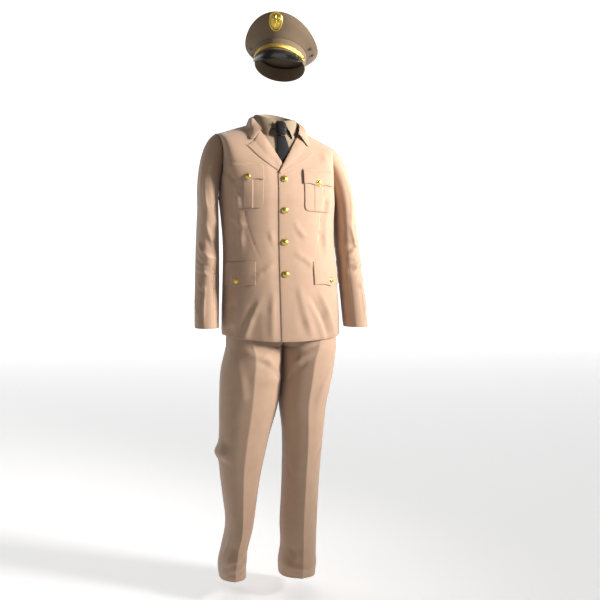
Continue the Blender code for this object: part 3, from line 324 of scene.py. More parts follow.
def creased(chart, x, z, period=None):
    """How far the creases move the cloth out at x and z, both in metres on the cloth."""
    total = np.zeros(np.broadcast(x, z).shape)
    for s in chart:
        dx, dz = x - s.x1, z - s.z1
        if period:
            dx = (dx + period / 2) % period - period / 2
        along_x, along_z = s.x2 - s.x1, s.z2 - s.z1
        length = math.hypot(along_x, along_z)
        t = (dx * along_x + dz * along_z) / length**2
        off = (dx * along_z - dz * along_x) / length - s.bow * np.sin(math.pi * np.clip(t, 0, 1))
        swell = smooth(t / 0.35 + 0.35) * smooth((1 - t) / 0.35 + 0.35)
        uneven = 1 + 0.22 * np.sin(9 * t + 40 * s.x1) + 0.12 * np.sin(21 * t + 70 * s.z1)
        d = off / s.width
        ridge = np.exp(-(d**2)) - 0.42 * np.exp(-(((d - 1.7) / 1.1) ** 2))
        total = total + s.rise * swell * uneven * ridge
    return total


def rippled(x, z, seed, rise):
    """A gentle unevenness that all worn cloth has."""
    total = 0.0
    for k, (fx, fz) in enumerate(((19, 7), (11, 17), (31, 13), (7, 29), (43, 23))):
        total = total + np.sin(fx * x + fz * z + 1.7 * k + seed) / (1 + 0.5 * k)
    return total * rise


print("crease brush ready")

# %% [markdown]
# ## Finishes: one weave for every cloth
#
# Service cloth is a fine wool twill: diagonal ribs less than a millimetre apart, with fibres that fade
# the colour here and there. The ribs, the mottling and the dashes of the topstitching are one node
# group, so coat, cap, shirt and tie share it with their own values. It reads the `cut` and `stitch`
# maps, which keeps the ribs on the thread line of each piece.

# %% Build the weave group
def sockets(group, kind, *names):
    for name in names:
        group.interface.new_socket(name=name, in_out=kind[0], socket_type=kind[1])


def math_node(nodes, links, operation, first, second=None, clamp=False):
    """A Math node with its first and second inputs linked or set."""
    node = nodes.new("ShaderNodeMath")
    node.operation = operation
    node.use_clamp = clamp
    for index, value in enumerate((first, second)):
        if value is None:
            continue
        if isinstance(value, (int, float)):
            node.inputs[index].default_value = value
        else:
            links.new(value, node.inputs[index])
    return node.outputs[0]


def set_inputs(node, **values):
    """Sets a node's inputs; an underscore in a name stands for a space."""
    for name, value in values.items():
        node.inputs[name.replace("_", " ")].default_value = value


def new_material(name):
    """A material with its nodes, its links and its Principled shader."""
    material = bpy.data.materials.new(name)
    material.use_nodes = True
    tree = material.node_tree
    return material, tree.nodes, tree.links, tree.nodes["Principled BSDF"]


def weave_group():
    group = bpy.data.node_groups.new("cloth_weave", "ShaderNodeTree")
    sockets(group, ("INPUT", "NodeSocketColor"), "Lit Fibre", "Dull Fibre")
    sockets(group, ("INPUT", "NodeSocketFloat"), "Rib Pitch", "Relief", "Roughness", "Mottle")
    sockets(group, ("OUTPUT", "NodeSocketColor"), "Color")
    sockets(group, ("OUTPUT", "NodeSocketFloat"), "Roughness")
    sockets(group, ("OUTPUT", "NodeSocketVector"), "Normal")
    nodes, links = group.nodes, group.links
    source, sink = nodes.new("NodeGroupInput"), nodes.new("NodeGroupOutput")
    calc = partial(math_node, nodes, links)
    cut, edge = nodes.new("ShaderNodeUVMap"), nodes.new("ShaderNodeUVMap")
    cut.uv_map, edge.uv_map = "cut", "stitch"
    split = nodes.new("ShaderNodeSeparateXYZ")
    links.new(cut.outputs[0], split.inputs[0])
    slant = calc("MULTIPLY", split.outputs[1], 0.62)
    slant = calc("ADD", split.outputs[0], slant)
    turns = calc("DIVIDE", slant, source.outputs["Rib Pitch"])
    rib = calc("SINE", calc("MULTIPLY", turns, ROUND))
    mottles = []
    for scale, detail in ((26, 3), (190, 3), (1500, 2)):
        noise = nodes.new("ShaderNodeTexNoise")
        set_inputs(noise, Scale=scale, Detail=detail)
        links.new(cut.outputs[0], noise.inputs["Vector"])
        mottles.append(noise.outputs["Fac"])
    return group, nodes, links, source, sink, edge, rib, mottles


def weave_group_colour(group, nodes, links, source, sink, edge, rib, mottles):
    """Mixes the fibres, lays the stitches on and adds the relief."""
    calc = partial(math_node, nodes, links)
    broad = calc("MULTIPLY_ADD", mottles[0], 0.55)
    broad.node.inputs[2].default_value = 0.0
    middle = calc("MULTIPLY_ADD", mottles[1], 0.30)
    links.new(broad, middle.node.inputs[2])
    fine = calc("MULTIPLY_ADD", mottles[2], 0.35)
    links.new(middle, fine.node.inputs[2])
    ribbed = calc("MULTIPLY_ADD", rib, 0.10)
    links.new(fine, ribbed.node.inputs[2])
    spread_out = calc("SUBTRACT", ribbed, 0.60)
    share = calc("MULTIPLY", spread_out, source.outputs["Mottle"])
    share = calc("ADD", share, 0.5, clamp=True)
    fibres = nodes.new("ShaderNodeMix")
    fibres.data_type = "RGBA"
    links.new(share, fibres.inputs["Factor"])
    links.new(source.outputs["Lit Fibre"], fibres.inputs["A"])
    links.new(source.outputs["Dull Fibre"], fibres.inputs["B"])
    split = nodes.new("ShaderNodeSeparateXYZ")
    links.new(edge.outputs[0], split.inputs[0])
    off = calc("ABSOLUTE", calc("SUBTRACT", split.outputs[1], STITCH_INSET))
    line = calc("LESS_THAN", off, STITCH_WIDTH / 2)
    step = calc("FRACT", calc("DIVIDE", split.outputs[0], STITCH_PITCH))
    dash = calc("LESS_THAN", step, 0.70)
    thread = calc("MULTIPLY", line, dash)
    threaded = nodes.new("ShaderNodeMix")
    threaded.data_type = "RGBA"
    threaded.blend_type = "MULTIPLY"
    threaded.inputs["B"].default_value = (0.62, 0.60, 0.58, 1)
    links.new(calc("MULTIPLY", thread, 0.8), threaded.inputs["Factor"])
    links.new(fibres.outputs["Result"], threaded.inputs["A"])
    links.new(threaded.outputs["Result"], sink.inputs["Color"])
    groove = calc("MULTIPLY", off, 1 / STITCH_DENT, clamp=True)
    groove = calc("MULTIPLY", groove, 0.8)
    height = calc("MULTIPLY_ADD", rib, 0.22)
    links.new(mottles[2], height.node.inputs[2])
    height = calc("ADD", height, groove)
    bump = nodes.new("ShaderNodeBump")
    bump.inputs["Distance"].default_value = 0.0004
    links.new(source.outputs["Relief"], bump.inputs["Strength"])
    links.new(height, bump.inputs["Height"])
    links.new(bump.outputs[0], sink.inputs["Normal"])
    rough = calc("MULTIPLY_ADD", share, 0.12)
    links.new(source.outputs["Roughness"], rough.node.inputs[2])
    links.new(rough, sink.inputs["Roughness"])
    return group


STITCH_INSET = 0.0055
STITCH_WIDTH = 0.0007
STITCH_PITCH = 0.0028
STITCH_DENT = 0.0014
WEAVE = weave_group_colour(*weave_group())
print("weave group:", len(WEAVE.nodes), "nodes")

# %% Cloth materials from the weave
Cloth = namedtuple("Cloth", "lit dull pitch relief roughness mottle sheen")
CLOTHS = {
    "khaki_twill": Cloth((0.500, 0.338, 0.238), (0.385, 0.252, 0.170), 0.0011, 0.30, 0.70, 0.9, 0.28),
    "cap_twill": Cloth((0.215, 0.152, 0.096), (0.138, 0.096, 0.058), 0.0010, 0.35, 0.74, 0.9, 0.20),
    "shirt_poplin": Cloth((0.33, 0.255, 0.172), (0.265, 0.20, 0.135), 0.0005, 0.15, 0.62, 0.7, 0.10),
    "tie_rep": Cloth((0.008, 0.008, 0.009), (0.004, 0.004, 0.005), 0.0012, 0.40, 0.50, 1.0, 0.02),
}


def cloth_material(name):
    """A Principled shader fed by the weave group with one cloth's values."""
    cloth = CLOTHS[name]
    material, nodes, links, shader = new_material(name)
    weave = nodes.new("ShaderNodeGroup")
    weave.node_tree = WEAVE
    set_inputs(weave, Lit_Fibre=(*cloth.lit, 1), Dull_Fibre=(*cloth.dull, 1), Rib_Pitch=cloth.pitch)
    set_inputs(weave, Relief=cloth.relief, Roughness=cloth.roughness, Mottle=cloth.mottle)
    for source, target in (("Color", "Base Color"), ("Roughness", "Roughness"), ("Normal", "Normal")):
        links.new(weave.outputs[source], shader.inputs[target])
    set_inputs(shader, Sheen_Weight=cloth.sheen, Sheen_Roughness=0.45, Specular_IOR_Level=0.28)
    return material


KHAKI, CAP_KHAKI, SHIRT_TAN, TIE_BLACK = (cloth_material(name) for name in CLOTHS)
print("cloths:", ", ".join(CLOTHS))

# %% [markdown]
# ## Finishes: gilt metal and patent leather
#
# Buttons, strap and badge are gilt brass: bright, with a fine grain where polish has worn. The peak is
# patent leather: black with a clear coat over a slightly waved base.

# %% Metal and patent leather
def surface_material(name, base, roughness, metallic, grain_scale, grain, relief, coat=0.0):
    """A smooth material whose roughness and height vary a little with a noise in object space."""
    material, nodes, links, shader = new_material(name)
    set_inputs(shader, Metallic=metallic, Coat_Weight=coat, Coat_Roughness=0.06)
    place = nodes.new("ShaderNodeTexCoord")
    noise = nodes.new("ShaderNodeTexNoise")
    set_inputs(noise, Scale=grain_scale, Detail=4)
    links.new(place.outputs["Object"], noise.inputs["Vector"])
    tone = nodes.new("ShaderNodeMix")
    tone.data_type = "RGBA"
    set_inputs(tone, A=(*base, 1), B=(*(0.72 * c for c in base), 1))
    links.new(noise.outputs["Fac"], tone.inputs["Factor"])
    links.new(tone.outputs["Result"], shader.inputs["Base Color"])
    rough = nodes.new("ShaderNodeMapRange")
    set_inputs(rough, To_Min=roughness, To_Max=roughness + grain)
    links.new(noise.outputs["Fac"], rough.inputs["Value"])
    links.new(rough.outputs[0], shader.inputs["Roughness"])
    bump = nodes.new("ShaderNodeBump")
    set_inputs(bump, Strength=relief, Distance=0.0003)
    links.new(noise.outputs["Fac"], bump.inputs["Height"])
    links.new(bump.outputs[0], shader.inputs["Normal"])
    return material


GILT = surface_material("gilt_brass", (0.93, 0.66, 0.13), 0.20, 1.0, 700, 0.20, 0.15)
GILT_CORD = surface_material("gilt_cord", (0.86, 0.60, 0.12), 0.34, 0.85, 900, 0.20, 0.4)
PATENT = surface_material("patent_leather", (0.006, 0.006, 0.007), 0.22, 0.0, 90, 0.10, 0.10, coat=0.35)
print("metals and patent leather ready")

# %% [markdown]
# ## How the uniform is worn
#
# The charts below hold the same girths and places as the frame's own tables. The coat leans a little to
# one side, its chest is turned by three degrees and its left shoulder is lower. `posed` moves the even,
# upright coat to that stance, so every piece sewn on the coat leans with it.

# %% Charts of the coat, shirt and stance
Girth = namedtuple("Girth", "height half_width front back")
COAT = (
    Girth(0.822, 0.1925, 0.137, 0.136),
    Girth(0.900, 0.1925, 0.136, 0.139),
    Girth(0.980, 0.1895, 0.131, 0.134),
    Girth(1.060, 0.1855, 0.125, 0.121),
    Girth(1.140, 0.1825, 0.121, 0.112),
    Girth(1.200, 0.1845, 0.124, 0.118),
    Girth(1.270, 0.1900, 0.130, 0.130),
)
SHIRT = (
    Girth(0.930, 0.1650, 0.1060, 0.110),
    Girth(1.000, 0.1610, 0.1050, 0.105),
    Girth(1.034, 0.1570, 0.1040, 0.100),
    Girth(1.053, 0.1597, 0.1068, 0.1022),
    Girth(1.078, 0.1597, 0.1068, 0.1018),
    Girth(1.140, 0.1640, 0.1080, 0.101),
    Girth(1.200, 0.1680, 0.1100, 0.106),
    Girth(1.270, 0.1730, 0.1150, 0.117),
)
HIPS = (
    Girth(0.800, 0.1800, 0.120, 0.128),
    Girth(0.900, 0.1800, 0.121, 0.130),
    Girth(0.980, 0.1740, 0.116, 0.120),
    Girth(1.034, 0.1630, 0.110, 0.106),
    Girth(1.075, 0.1630, 0.110, 0.105),
)
CHEST_HEIGHT = 1.270
GIRTH_POWER = 2.3
SIDE_SEAM = math.radians(100)
SEAM_ANGLE = math.radians(0.06)
HEM_RISE = 0.016
Stance = namedtuple("Stance", "height shift twist tilt")
STANCE = (
    Stance(0.800, 0.010, 0.0, 0.0),
    Stance(1.100, 0.003, 0.0, 0.0),
    Stance(1.300, -0.006, 3.0, 0.060),
    Stance(1.460, -0.009, 3.5, 0.095),
    Stance(1.600, -0.009, 3.5, 0.095),
)
Yoke = namedtuple(
    "Yoke", "neck_x neck_y neck_z tip_x tip_y tip_z centre_y centre_z arm_in arm_swell centre_turn tip_turn")
COAT_BACK = Yoke(0.078, 0.012, 1.5150, 0.197, 0.008, 1.4660, 0.062, 1.5220, 0.018, 0.040, 62, 90)
SHIRT_BACK = Yoke(0.066, 0.010, 1.5166, 0.184, 0.008, 1.4682, 0.055, 1.5230, 0.010, 0.020, 55, 84)
SHIRT_FRONT = Yoke(0.066, 0.010, 1.5166, 0.184, 0.008, 1.4682, -0.058, 1.4960, 0.014, 0.030, 40, 80)
FRONT_ARM_IN = 0.014
FRONT_ARM_SWELL = 0.050
LAP = 0.018
BREAK_HEIGHT = 1.350
UNDER_INSET = 0.0026
ARM_SEAM_GAP = 0.0012
COAT_CLOTH = 0.0018
print("coat chart:", len(COAT), "girths")

# %% Girths and stance
def oval(angle, half_width, front, back):
    """x and y of a rounded oval; angle 0 is the front and 90 degrees the left."""
    c = np.cos(angle)
    depth = np.where(c > 0, front, back)
    x = half_width * signed_power(np.sin(angle), 2 / GIRTH_POWER)
    return x, -depth * signed_power(c, 2 / GIRTH_POWER)


def girth_point(rows, angle, height):
    return oval(angle, *(column(rows, name, height) for name in ("half_width", "front", "back")))


def posed(points):
    """Points of the upright, even coat moved to its stance."""
    x, y, h = points[..., 0], points[..., 1], points[..., 2]
    twist = np.radians(column(STANCE, "twist", h))
    across = x * np.cos(twist) - y * np.sin(twist) + column(STANCE, "shift", h)
    deep = x * np.sin(twist) + y * np.cos(twist)
    return stack(across, deep, h - column(STANCE, "tilt", h) * x - HELD_HEIGHT)


def normals_of(surface, a, b, side=1, step=1e-3):
    """Outward unit normals of surface(a, b), where a turns from front to left and b rises."""
    around = surface(a + step, b) - surface(a - step, b)
    rising = surface(a, b + step) - surface(a, b - step)
    normal = np.cross(around, rising) * side
    return normal / np.maximum(np.linalg.norm(normal, axis=-1, keepdims=True), 1e-12)

print("stance: left shoulder lower by", round(0.19 * STANCE[3].tilt * 1000), "mm at its tip")

# %% [markdown]
# ## Coat panels
#
# The coat is cut as two fronts, the left over the right, and two backs with a centre seam. Below the
# chest each panel follows the girths. Above it the cloth turns over to the shoulder seam, while the
# front's edge leans away from the centre to make room for the lapels.

# %% Shoulder seams and the panels with a neckline
def shoulder_line(yoke, t):
    """The shoulder seam, from the neck at 0 to the arm at 1."""
    return (
        lerp(yoke.neck_x, yoke.tip_x, t),
        lerp(yoke.neck_y, yoke.tip_y, t),
        lerp(yoke.neck_z, yoke.tip_z, t),
    )


def panel_with_neck(rows, yoke, face, across, up, side_angle, hem_height):
    """Half of a back, or of a closed front, of a body shell, at plain places.

    across runs from the centre line at 0 to the side seam at 1. up runs from the hem at 0 over the
    chest line at 1 to the shoulder at 2. face is -1 for a front and 1 for a back.
    """
    centre = 0.0 if face < 0 else math.pi
    angle = lerp(centre, side_angle, across)
    height = lerp(hem_height, CHEST_HEIGHT, np.minimum(up, 1))
    low_x, low_y = girth_point(rows, angle, height)
    base_x, base_y = girth_point(rows, angle, CHEST_HEIGHT)
    side_x, _ = girth_point(rows, side_angle, CHEST_HEIGHT)
    share = np.clip(base_x / side_x, 0, 1)
    neck_share = yoke.neck_x / yoke.tip_x
    on_neck = np.clip(share / neck_share, 0, 1)
    dip = np.sqrt(np.maximum(1 - on_neck**2, 0))
    _, line_y, line_z = shoulder_line(yoke, np.clip((share - neck_share) / (1 - neck_share), 0, 1))
    top_x = share * yoke.tip_x
    top_y = np.where(share < neck_share, lerp(yoke.neck_y, yoke.centre_y, dip), line_y)
    top_z = np.where(share < neck_share, lerp(yoke.neck_z, yoke.centre_z, dip), line_z)
    last = np.radians(lerp(yoke.centre_turn, yoke.tip_turn, smooth(on_neck)))
    turn = np.clip(up - 1, 0, 1) * last
    rise = np.sin(turn) / np.sin(last)
    back_off = (np.cos(turn) - np.cos(last)) / (1 - np.cos(last))
    bulge = np.sin(2 * turn) * share**3
    high_x = lerp(base_x, top_x, 1 - back_off) - yoke.arm_in * bulge
    high_y = lerp(top_y + face * SEAM_GAP, base_y, back_off) + face * yoke.arm_swell * bulge
    high_z = lerp(CHEST_HEIGHT, top_z, rise)
    low = up <= 1
    return stack(np.where(low, low_x, high_x), np.where(low, low_y, high_y), np.where(low, height, high_z))


def coat_hem(angle):
    """The coat's hem dips a little at the front and back and rises at the sides."""
    return COAT[0].height + HEM_RISE * np.sin(angle) ** 2

print("hem at the front", round(float(coat_hem(0.0)), 3), "m")

# %% The coat's front and back sheets
def coat_front(across, up, side_angle=SIDE_SEAM - SEAM_ANGLE):
    """The left front: across from the front edge to the side seam, up from hem 0, chest 1, shoulder 2."""
    height_now = np.minimum(up, 1)
    lap_angle = -((LAP / column(COAT, "half_width", CHEST_HEIGHT)) ** (GIRTH_POWER / 2))
    angle = lerp(lap_angle, side_angle, across)
    height = lerp(coat_hem(angle), CHEST_HEIGHT, height_now)
    low_x, low_y = girth_point(COAT, angle, height)
    base_x, base_y = girth_point(COAT, angle, CHEST_HEIGHT)
    side_x, _ = girth_point(COAT, side_angle, CHEST_HEIGHT)
    share = (base_x + LAP) / (side_x + LAP)
    _, top_y, top_z = shoulder_line(COAT_BACK, share)
    turn = np.clip(up - 1, 0, 1) * math.pi / 2
    edge_height = lerp(CHEST_HEIGHT, COAT_BACK.neck_z, np.sin(turn))
    roll = soft_ramp((edge_height - BREAK_HEIGHT) / (COAT_BACK.neck_z - BREAK_HEIGHT))
    roll = roll / soft_ramp(1.0) - soft_ramp(-1.0)
    edge_x = lerp(-LAP, COAT_BACK.neck_x, roll)
    arm_x = lerp(side_x, COAT_BACK.tip_x, 1 - np.cos(turn)) - FRONT_ARM_IN * np.sin(2 * turn)
    high_x = lerp(edge_x, arm_x, share)
    high_y = lerp(top_y - SEAM_GAP, base_y, np.cos(turn)) - FRONT_ARM_SWELL * np.sin(2 * turn) * share**3
    high_z = lerp(CHEST_HEIGHT, top_z, np.sin(turn))
    low = up <= 1
    return stack(np.where(low, low_x, high_x), np.where(low, low_y, high_y), np.where(low, height, high_z))


def coat_back(across, up):
    side_angle = SIDE_SEAM + SEAM_ANGLE
    angle = lerp(math.pi, side_angle, across)
    return panel_with_neck(COAT, COAT_BACK, 1, across, up, side_angle, coat_hem(angle))


def mirrored(points, side):
    """The points on the right side of the body when side is -1."""
    return points * np.array([side, 1, 1])


def skirt_folds(points):
    """Long soft folds in the skirt of the coat, deepest at the hem."""
    angle = np.arctan2(points[..., 0], -points[..., 1])
    fade = smooth((1.02 - points[..., 2]) / 0.20)
    ripple = 0.0022 * np.sin(angle * 7 + 0.6) + 0.0014 * np.sin(angle * 12 + 2.0)
    out = points * np.array([1, 1, 0])
    out = out / np.maximum(np.linalg.norm(out, axis=-1, keepdims=True), 1e-9)
    calm = smooth((np.abs(angle) - 0.25) / 0.4)
    return points + out * (ripple * fade * calm)[..., None]

print("front edge", np.round(coat_front(np.zeros(1), np.zeros(1))[0], 3))

# %% [markdown]
# Creases of the coat are drawn on the front and on the back as strokes in x and height. On the front a
# drag runs from each chest pocket to the waist, the dart below the pocket pulls the cloth in, and the
# skirt flares in three long soft folds. The hidden back gets similar ones: short drags over the blades
# and under the arms, and long folds in the skirt.

# %% Creases of the coat
FRONT_CREASES = {
    -1: strokes(
        (-0.128, 1.250, -0.078, 1.080, 0.006, 0.0016, -0.0012),
        (-0.150, 1.300, -0.135, 1.100, -0.006, 0.010, 0.0022),
        (-0.085, 0.945, -0.135, 0.820, 0.004, 0.009, 0.0026),
        (-0.160, 0.960, -0.175, 0.825, 0.000, 0.010, -0.0022),
        (-0.045, 1.170, -0.020, 1.110, 0.004, 0.008, 0.0012),
        (-0.030, 1.060, -0.095, 1.020, 0.004, 0.010, 0.0012),
        (-0.175, 1.350, -0.140, 1.270, -0.006, 0.009, -0.0020),
        (-0.165, 1.215, -0.120, 1.180, 0.004, 0.008, 0.0014),
        (-0.035, 0.980, -0.045, 0.830, 0.003, 0.012, 0.0016),
    ),
    1: strokes(
        (0.122, 1.245, 0.098, 1.080, -0.006, 0.0016, -0.0012),
        (0.155, 1.300, 0.140, 1.100, 0.006, 0.010, 0.0024),
        (0.080, 0.960, 0.140, 0.820, -0.006, 0.009, -0.0028),
        (0.110, 0.975, 0.165, 0.830, -0.004, 0.010, 0.0024),
        (0.040, 0.990, 0.085, 0.830, 0.003, 0.012, 0.0018),
        (0.030, 1.200, 0.070, 1.150, 0.004, 0.009, 0.0013),
        (0.030, 1.100, 0.090, 1.060, -0.004, 0.009, 0.0013),
        (0.175, 1.330, 0.135, 1.240, 0.008, 0.009, -0.0022),
        (0.165, 1.200, 0.125, 1.150, -0.004, 0.009, 0.0016),
        (0.140, 1.440, 0.165, 1.370, 0.004, 0.014, 0.0007),
    ),
}
COAT_FOLD_DEPTH = 1.8
BACK_CREASES = strokes(
    (0.150, 1.420, 0.085, 1.330, 0.006, 0.010, 0.0018),
    (0.165, 1.330, 0.110, 1.270, 0.006, 0.010, -0.0020),
    (0.150, 1.210, 0.060, 1.150, 0.010, 0.011, 0.0020),
    (0.160, 1.150, 0.050, 1.110, 0.008, 0.010, -0.0018),
    (0.130, 1.080, 0.070, 1.040, 0.006, 0.010, 0.0014),
    (0.060, 0.980, 0.085, 0.830, 0.004, 0.012, 0.0026),
    (0.120, 0.970, 0.150, 0.830, 0.004, 0.012, -0.0024),
    (0.030, 1.440, 0.085, 1.450, 0.004, 0.012, 0.0012),
)


def front_normals(across, up, side):
    """Outward normals of a front before the stance."""
    return mirrored(normals_of(coat_front, across, np.clip(up, 0.002, 1.998)), side)


def front_sheet(across, up, side):
    """One front as it hangs, with its creases. The right one tucks in under the left."""
    points = mirrored(skirt_folds(coat_front(across, up)), side)
    x, z = points[..., 0], points[..., 2]
    rise = COAT_FOLD_DEPTH * creased(FRONT_CREASES[side], x, z) + rippled(x, z, 1.0, 0.0005)
    calm = smooth((np.abs(x) - 0.018) / 0.030) * smooth((2 - up) / 0.25) * smooth((1 - across) / 0.06)
    inset = np.where(side < 0, UNDER_INSET * smooth((x + 0.055) / 0.035), 0.0)
    return points + front_normals(across, up, side) * (rise * calm - inset)[..., None]


def back_sheet(across, up, side):
    """One back as it hangs, with its creases."""
    points = skirt_folds(coat_back(across, up))
    x, z = points[..., 0], points[..., 2]
    rise = COAT_FOLD_DEPTH * creased(BACK_CREASES, x, z + 0.004 * side) + rippled(x * side, z, 2.0, 0.0006)
    calm = smooth(across / 0.05) * smooth((1 - across) / 0.06) * smooth((2 - up) / 0.25)
    normal = normals_of(coat_back, across, np.clip(up, 0.002, 1.998), -1)
    return mirrored(points + normal * (rise * calm)[..., None], side)


print("creases on the fronts:", {side: len(chart) for side, chart in FRONT_CREASES.items()})

# %% Sew the fronts and backs
SIDES = ((1, "left"), (-1, "right"))
PANEL_ROWS = np.concatenate([spread(0, 1, 92, 0.0035), spread(1, 2, 62, 0.005)[1:]])
for side, word in SIDES:
    front = lambda a, b: posed(front_sheet(a, b, side))
    back = lambda a, b: posed(back_sheet(1 - a, b, side))
    columns = spread(0, 1, 68, 0.006)
    piece = sew_wall(f"sewn_coat_front_{word}", front, columns, PANEL_ROWS, COAT_CLOTH, KHAKI,
                     [f"coat_front_{word}"], side, stitched="left bottom")
    declare(piece)
    columns = spread(0, 1 - SEAM_ANGLE, 62, 0.006)
    piece = sew_wall(f"sewn_coat_back_{word}", back, columns, PANEL_ROWS, COAT_CLOTH, KHAKI,
                     [f"coat_back_{word}"], side, stitched="bottom")
    declare(piece)

# %% [markdown]
# ## Sleeves
#
# A two-piece sleeve: the top sleeve shows from the front, and the under sleeve lies against the coat.
# Its head leaves the armhole seam along a short curve. It hangs slightly bent, so the cloth bunches
# on the inside of the elbow, drags from the shoulder, and breaks a little above the cuff. The strokes
# are drawn round the arm: x is the way round in metres, from the outer side to the front.

# %% Chart of the arm
Arm = namedtuple("Arm", "height x y half_width half_depth")
ARM = (
    Arm(0.862, 0.2440, -0.030, 0.0385, 0.0580),
    Arm(0.940, 0.2410, -0.014, 0.0390, 0.0610),
    Arm(1.000, 0.2380, 0.000, 0.0390, 0.0640),
    Arm(1.060, 0.2350, 0.010, 0.0385, 0.0670),
    Arm(1.120, 0.2320, 0.016, 0.0375, 0.0700),
    Arm(1.180, 0.2290, 0.016, 0.0355, 0.0730),
    Arm(1.235, 0.2262, 0.012, 0.0332, 0.0760),
)
ARM_STEP = math.radians(22.5)
SEAM_TURN = 0.003
ARM_ROUND = 0.060
ARM_POWER = 0.9
Fold = namedtuple("Fold", "height angle rise tall wide")
ARM_FOLDS = (
    Fold(1.130, 90, -0.006, 0.014, 40),
    Fold(1.085, 95, 0.005, 0.014, 40),
    Fold(1.045, 80, -0.005, 0.013, 40),
    Fold(1.200, 100, 0.004, 0.020, 40),
)

def armhole(turn):
    """The armhole seam of the left side: turn 0 is the shoulder, 90 the front, 180 the underarm."""
    forward = turn <= math.pi
    front_up_value = 2 - np.minimum(turn, math.pi) / math.pi
    back_up_value = 1 + np.clip(turn - math.pi, 0, math.pi) / math.pi
    one = np.ones_like(turn)
    return np.where(forward[..., None], coat_front(one, front_up_value), coat_back(one, back_up_value))


def folds_at(folds, height, angle):
    """How far the listed folds push the cloth out at a height and an angle round the tube."""
    total = 0.0
    for f in folds:
        apart = np.angle(np.exp(1j * (angle - math.radians(f.angle))))
        shape = np.exp(-(((height - f.height) / f.tall) ** 2) - (apart / math.radians(f.wide)) ** 2)
        total = total + f.rise * shape
    return total


def arm_ring(turn, height):
    """A level section of the sleeve: turn 0 is the outer side, 90 degrees the front."""
    fold = folds_at(ARM_FOLDS, height, turn)
    wide, deep = (column(ARM, name, height) + fold for name in ("half_width", "half_depth"))
    x = column(ARM, "x", height) + wide * signed_power(np.cos(turn), ARM_POWER)
    y = column(ARM, "y", height) - deep * signed_power(np.sin(turn), ARM_POWER)
    return stack(x, y, height)


def sleeve(turn, down):
    """The left sleeve: down from the armhole at 0, the head's foot at 1, to the cuff at 2."""
    start = armhole(np.mod(turn, 2 * math.pi))
    out = stack(0.50 + 0.25 * np.cos(turn), -0.30 * np.sin(turn), -0.72 + 0.22 * np.cos(turn))
    out = out / np.linalg.norm(out, axis=-1, keepdims=True)
    start = start + out * ARM_SEAM_GAP + np.array([ARM_SEAM_GAP, 0, 0])
    top = ARM[-1].height
    end = arm_ring(turn, top)
    reach = np.linalg.norm(end - start, axis=-1, keepdims=True)
    t = np.clip(down, 0, 1)[..., None]
    head = (
        (2 * t**3 - 3 * t**2 + 1) * start
        + (t**3 - 2 * t**2 + t) * out * reach * 0.8
        + (-2 * t**3 + 3 * t**2) * end
        + (t**3 - t**2) * np.array([0, 0, -1.0]) * reach * 1.1
    )
    tube = arm_ring(turn, lerp(top, ARM[0].height, np.clip(down - 1, 0, 1)))
    return np.where((down <= 1)[..., None], head, tube)

print("arm chart:", len(ARM), "sections")

# %% Creases of the sleeves
SLEEVE_FOLD_DEPTH = 1.6
SLEEVE_CREASES = {
    -1: strokes(
        (0.075, 1.190, 0.120, 1.120, 0.004, 0.0080, 0.0022),
        (0.030, 1.130, 0.105, 1.085, 0.006, 0.0070, 0.0026),
        (0.020, 1.085, 0.100, 1.060, 0.004, 0.0060, -0.0020),
        (0.020, 1.050, 0.090, 1.035, -0.003, 0.0060, 0.0022),
        (0.035, 1.010, 0.085, 0.985, 0.004, 0.0070, 0.0018),
        (0.080, 0.990, 0.075, 0.870, 0.002, 0.0060, 0.0018),
        (0.055, 1.330, 0.085, 1.220, 0.006, 0.0090, 0.0018),
        (0.020, 1.380, 0.035, 1.290, -0.004, 0.0100, 0.0014),
        (0.010, 0.960, 0.045, 0.900, 0.004, 0.0080, 0.0014),
        (0.200, 1.150, 0.260, 1.100, 0.004, 0.0080, 0.0022),
        (0.195, 1.100, 0.265, 1.065, 0.003, 0.0070, -0.0020),
        (0.200, 1.040, 0.250, 1.000, 0.003, 0.0080, 0.0016),
    ),
    1: strokes(
        (0.060, 1.380, 0.085, 1.200, 0.004, 0.0090, 0.0022),
        (0.090, 1.200, 0.060, 1.110, -0.004, 0.0080, 0.0024),
        (0.040, 1.150, 0.110, 1.100, 0.006, 0.0070, 0.0026),
        (0.030, 1.100, 0.105, 1.070, 0.004, 0.0060, -0.0022),
        (0.025, 1.065, 0.095, 1.045, -0.003, 0.0060, 0.0024),
        (0.035, 1.020, 0.080, 0.990, 0.004, 0.0080, 0.0018),
        (0.065, 1.000, 0.060, 0.870, 0.002, 0.0060, 0.0020),
        (0.010, 0.970, 0.040, 0.910, 0.004, 0.0080, 0.0014),
        (0.015, 1.350, 0.030, 1.270, 0.004, 0.0100, 0.0014),
        (0.205, 1.160, 0.265, 1.110, 0.004, 0.0080, 0.0022),
        (0.200, 1.090, 0.260, 1.060, 0.003, 0.0070, -0.0020),
        (0.205, 1.030, 0.250, 0.990, 0.003, 0.0080, 0.0016),
    ),
}


def worn_sleeve(turn, down, side):
    """The sleeve with its creases; they fade out at the armhole and at the cuff."""
    points = sleeve(turn, down)
    outward = points * 0
    outward[..., 0], outward[..., 1] = np.cos(turn), -np.sin(turn)
    way, height = turn * ARM_ROUND, points[..., 2]
    rise = SLEEVE_FOLD_DEPTH * creased(SLEEVE_CREASES[side], way, height, ROUND * ARM_ROUND)
    rise = rise + rippled(3 * way, height, 3.0 + side, 0.0005)
    calm = smooth(down / 0.35) * smooth((2 - down) / 0.06)
    return mirrored(points + outward * (rise * calm)[..., None], side)


print("creases on the sleeves:", {side: len(chart) for side, chart in SLEEVE_CREASES.items()})

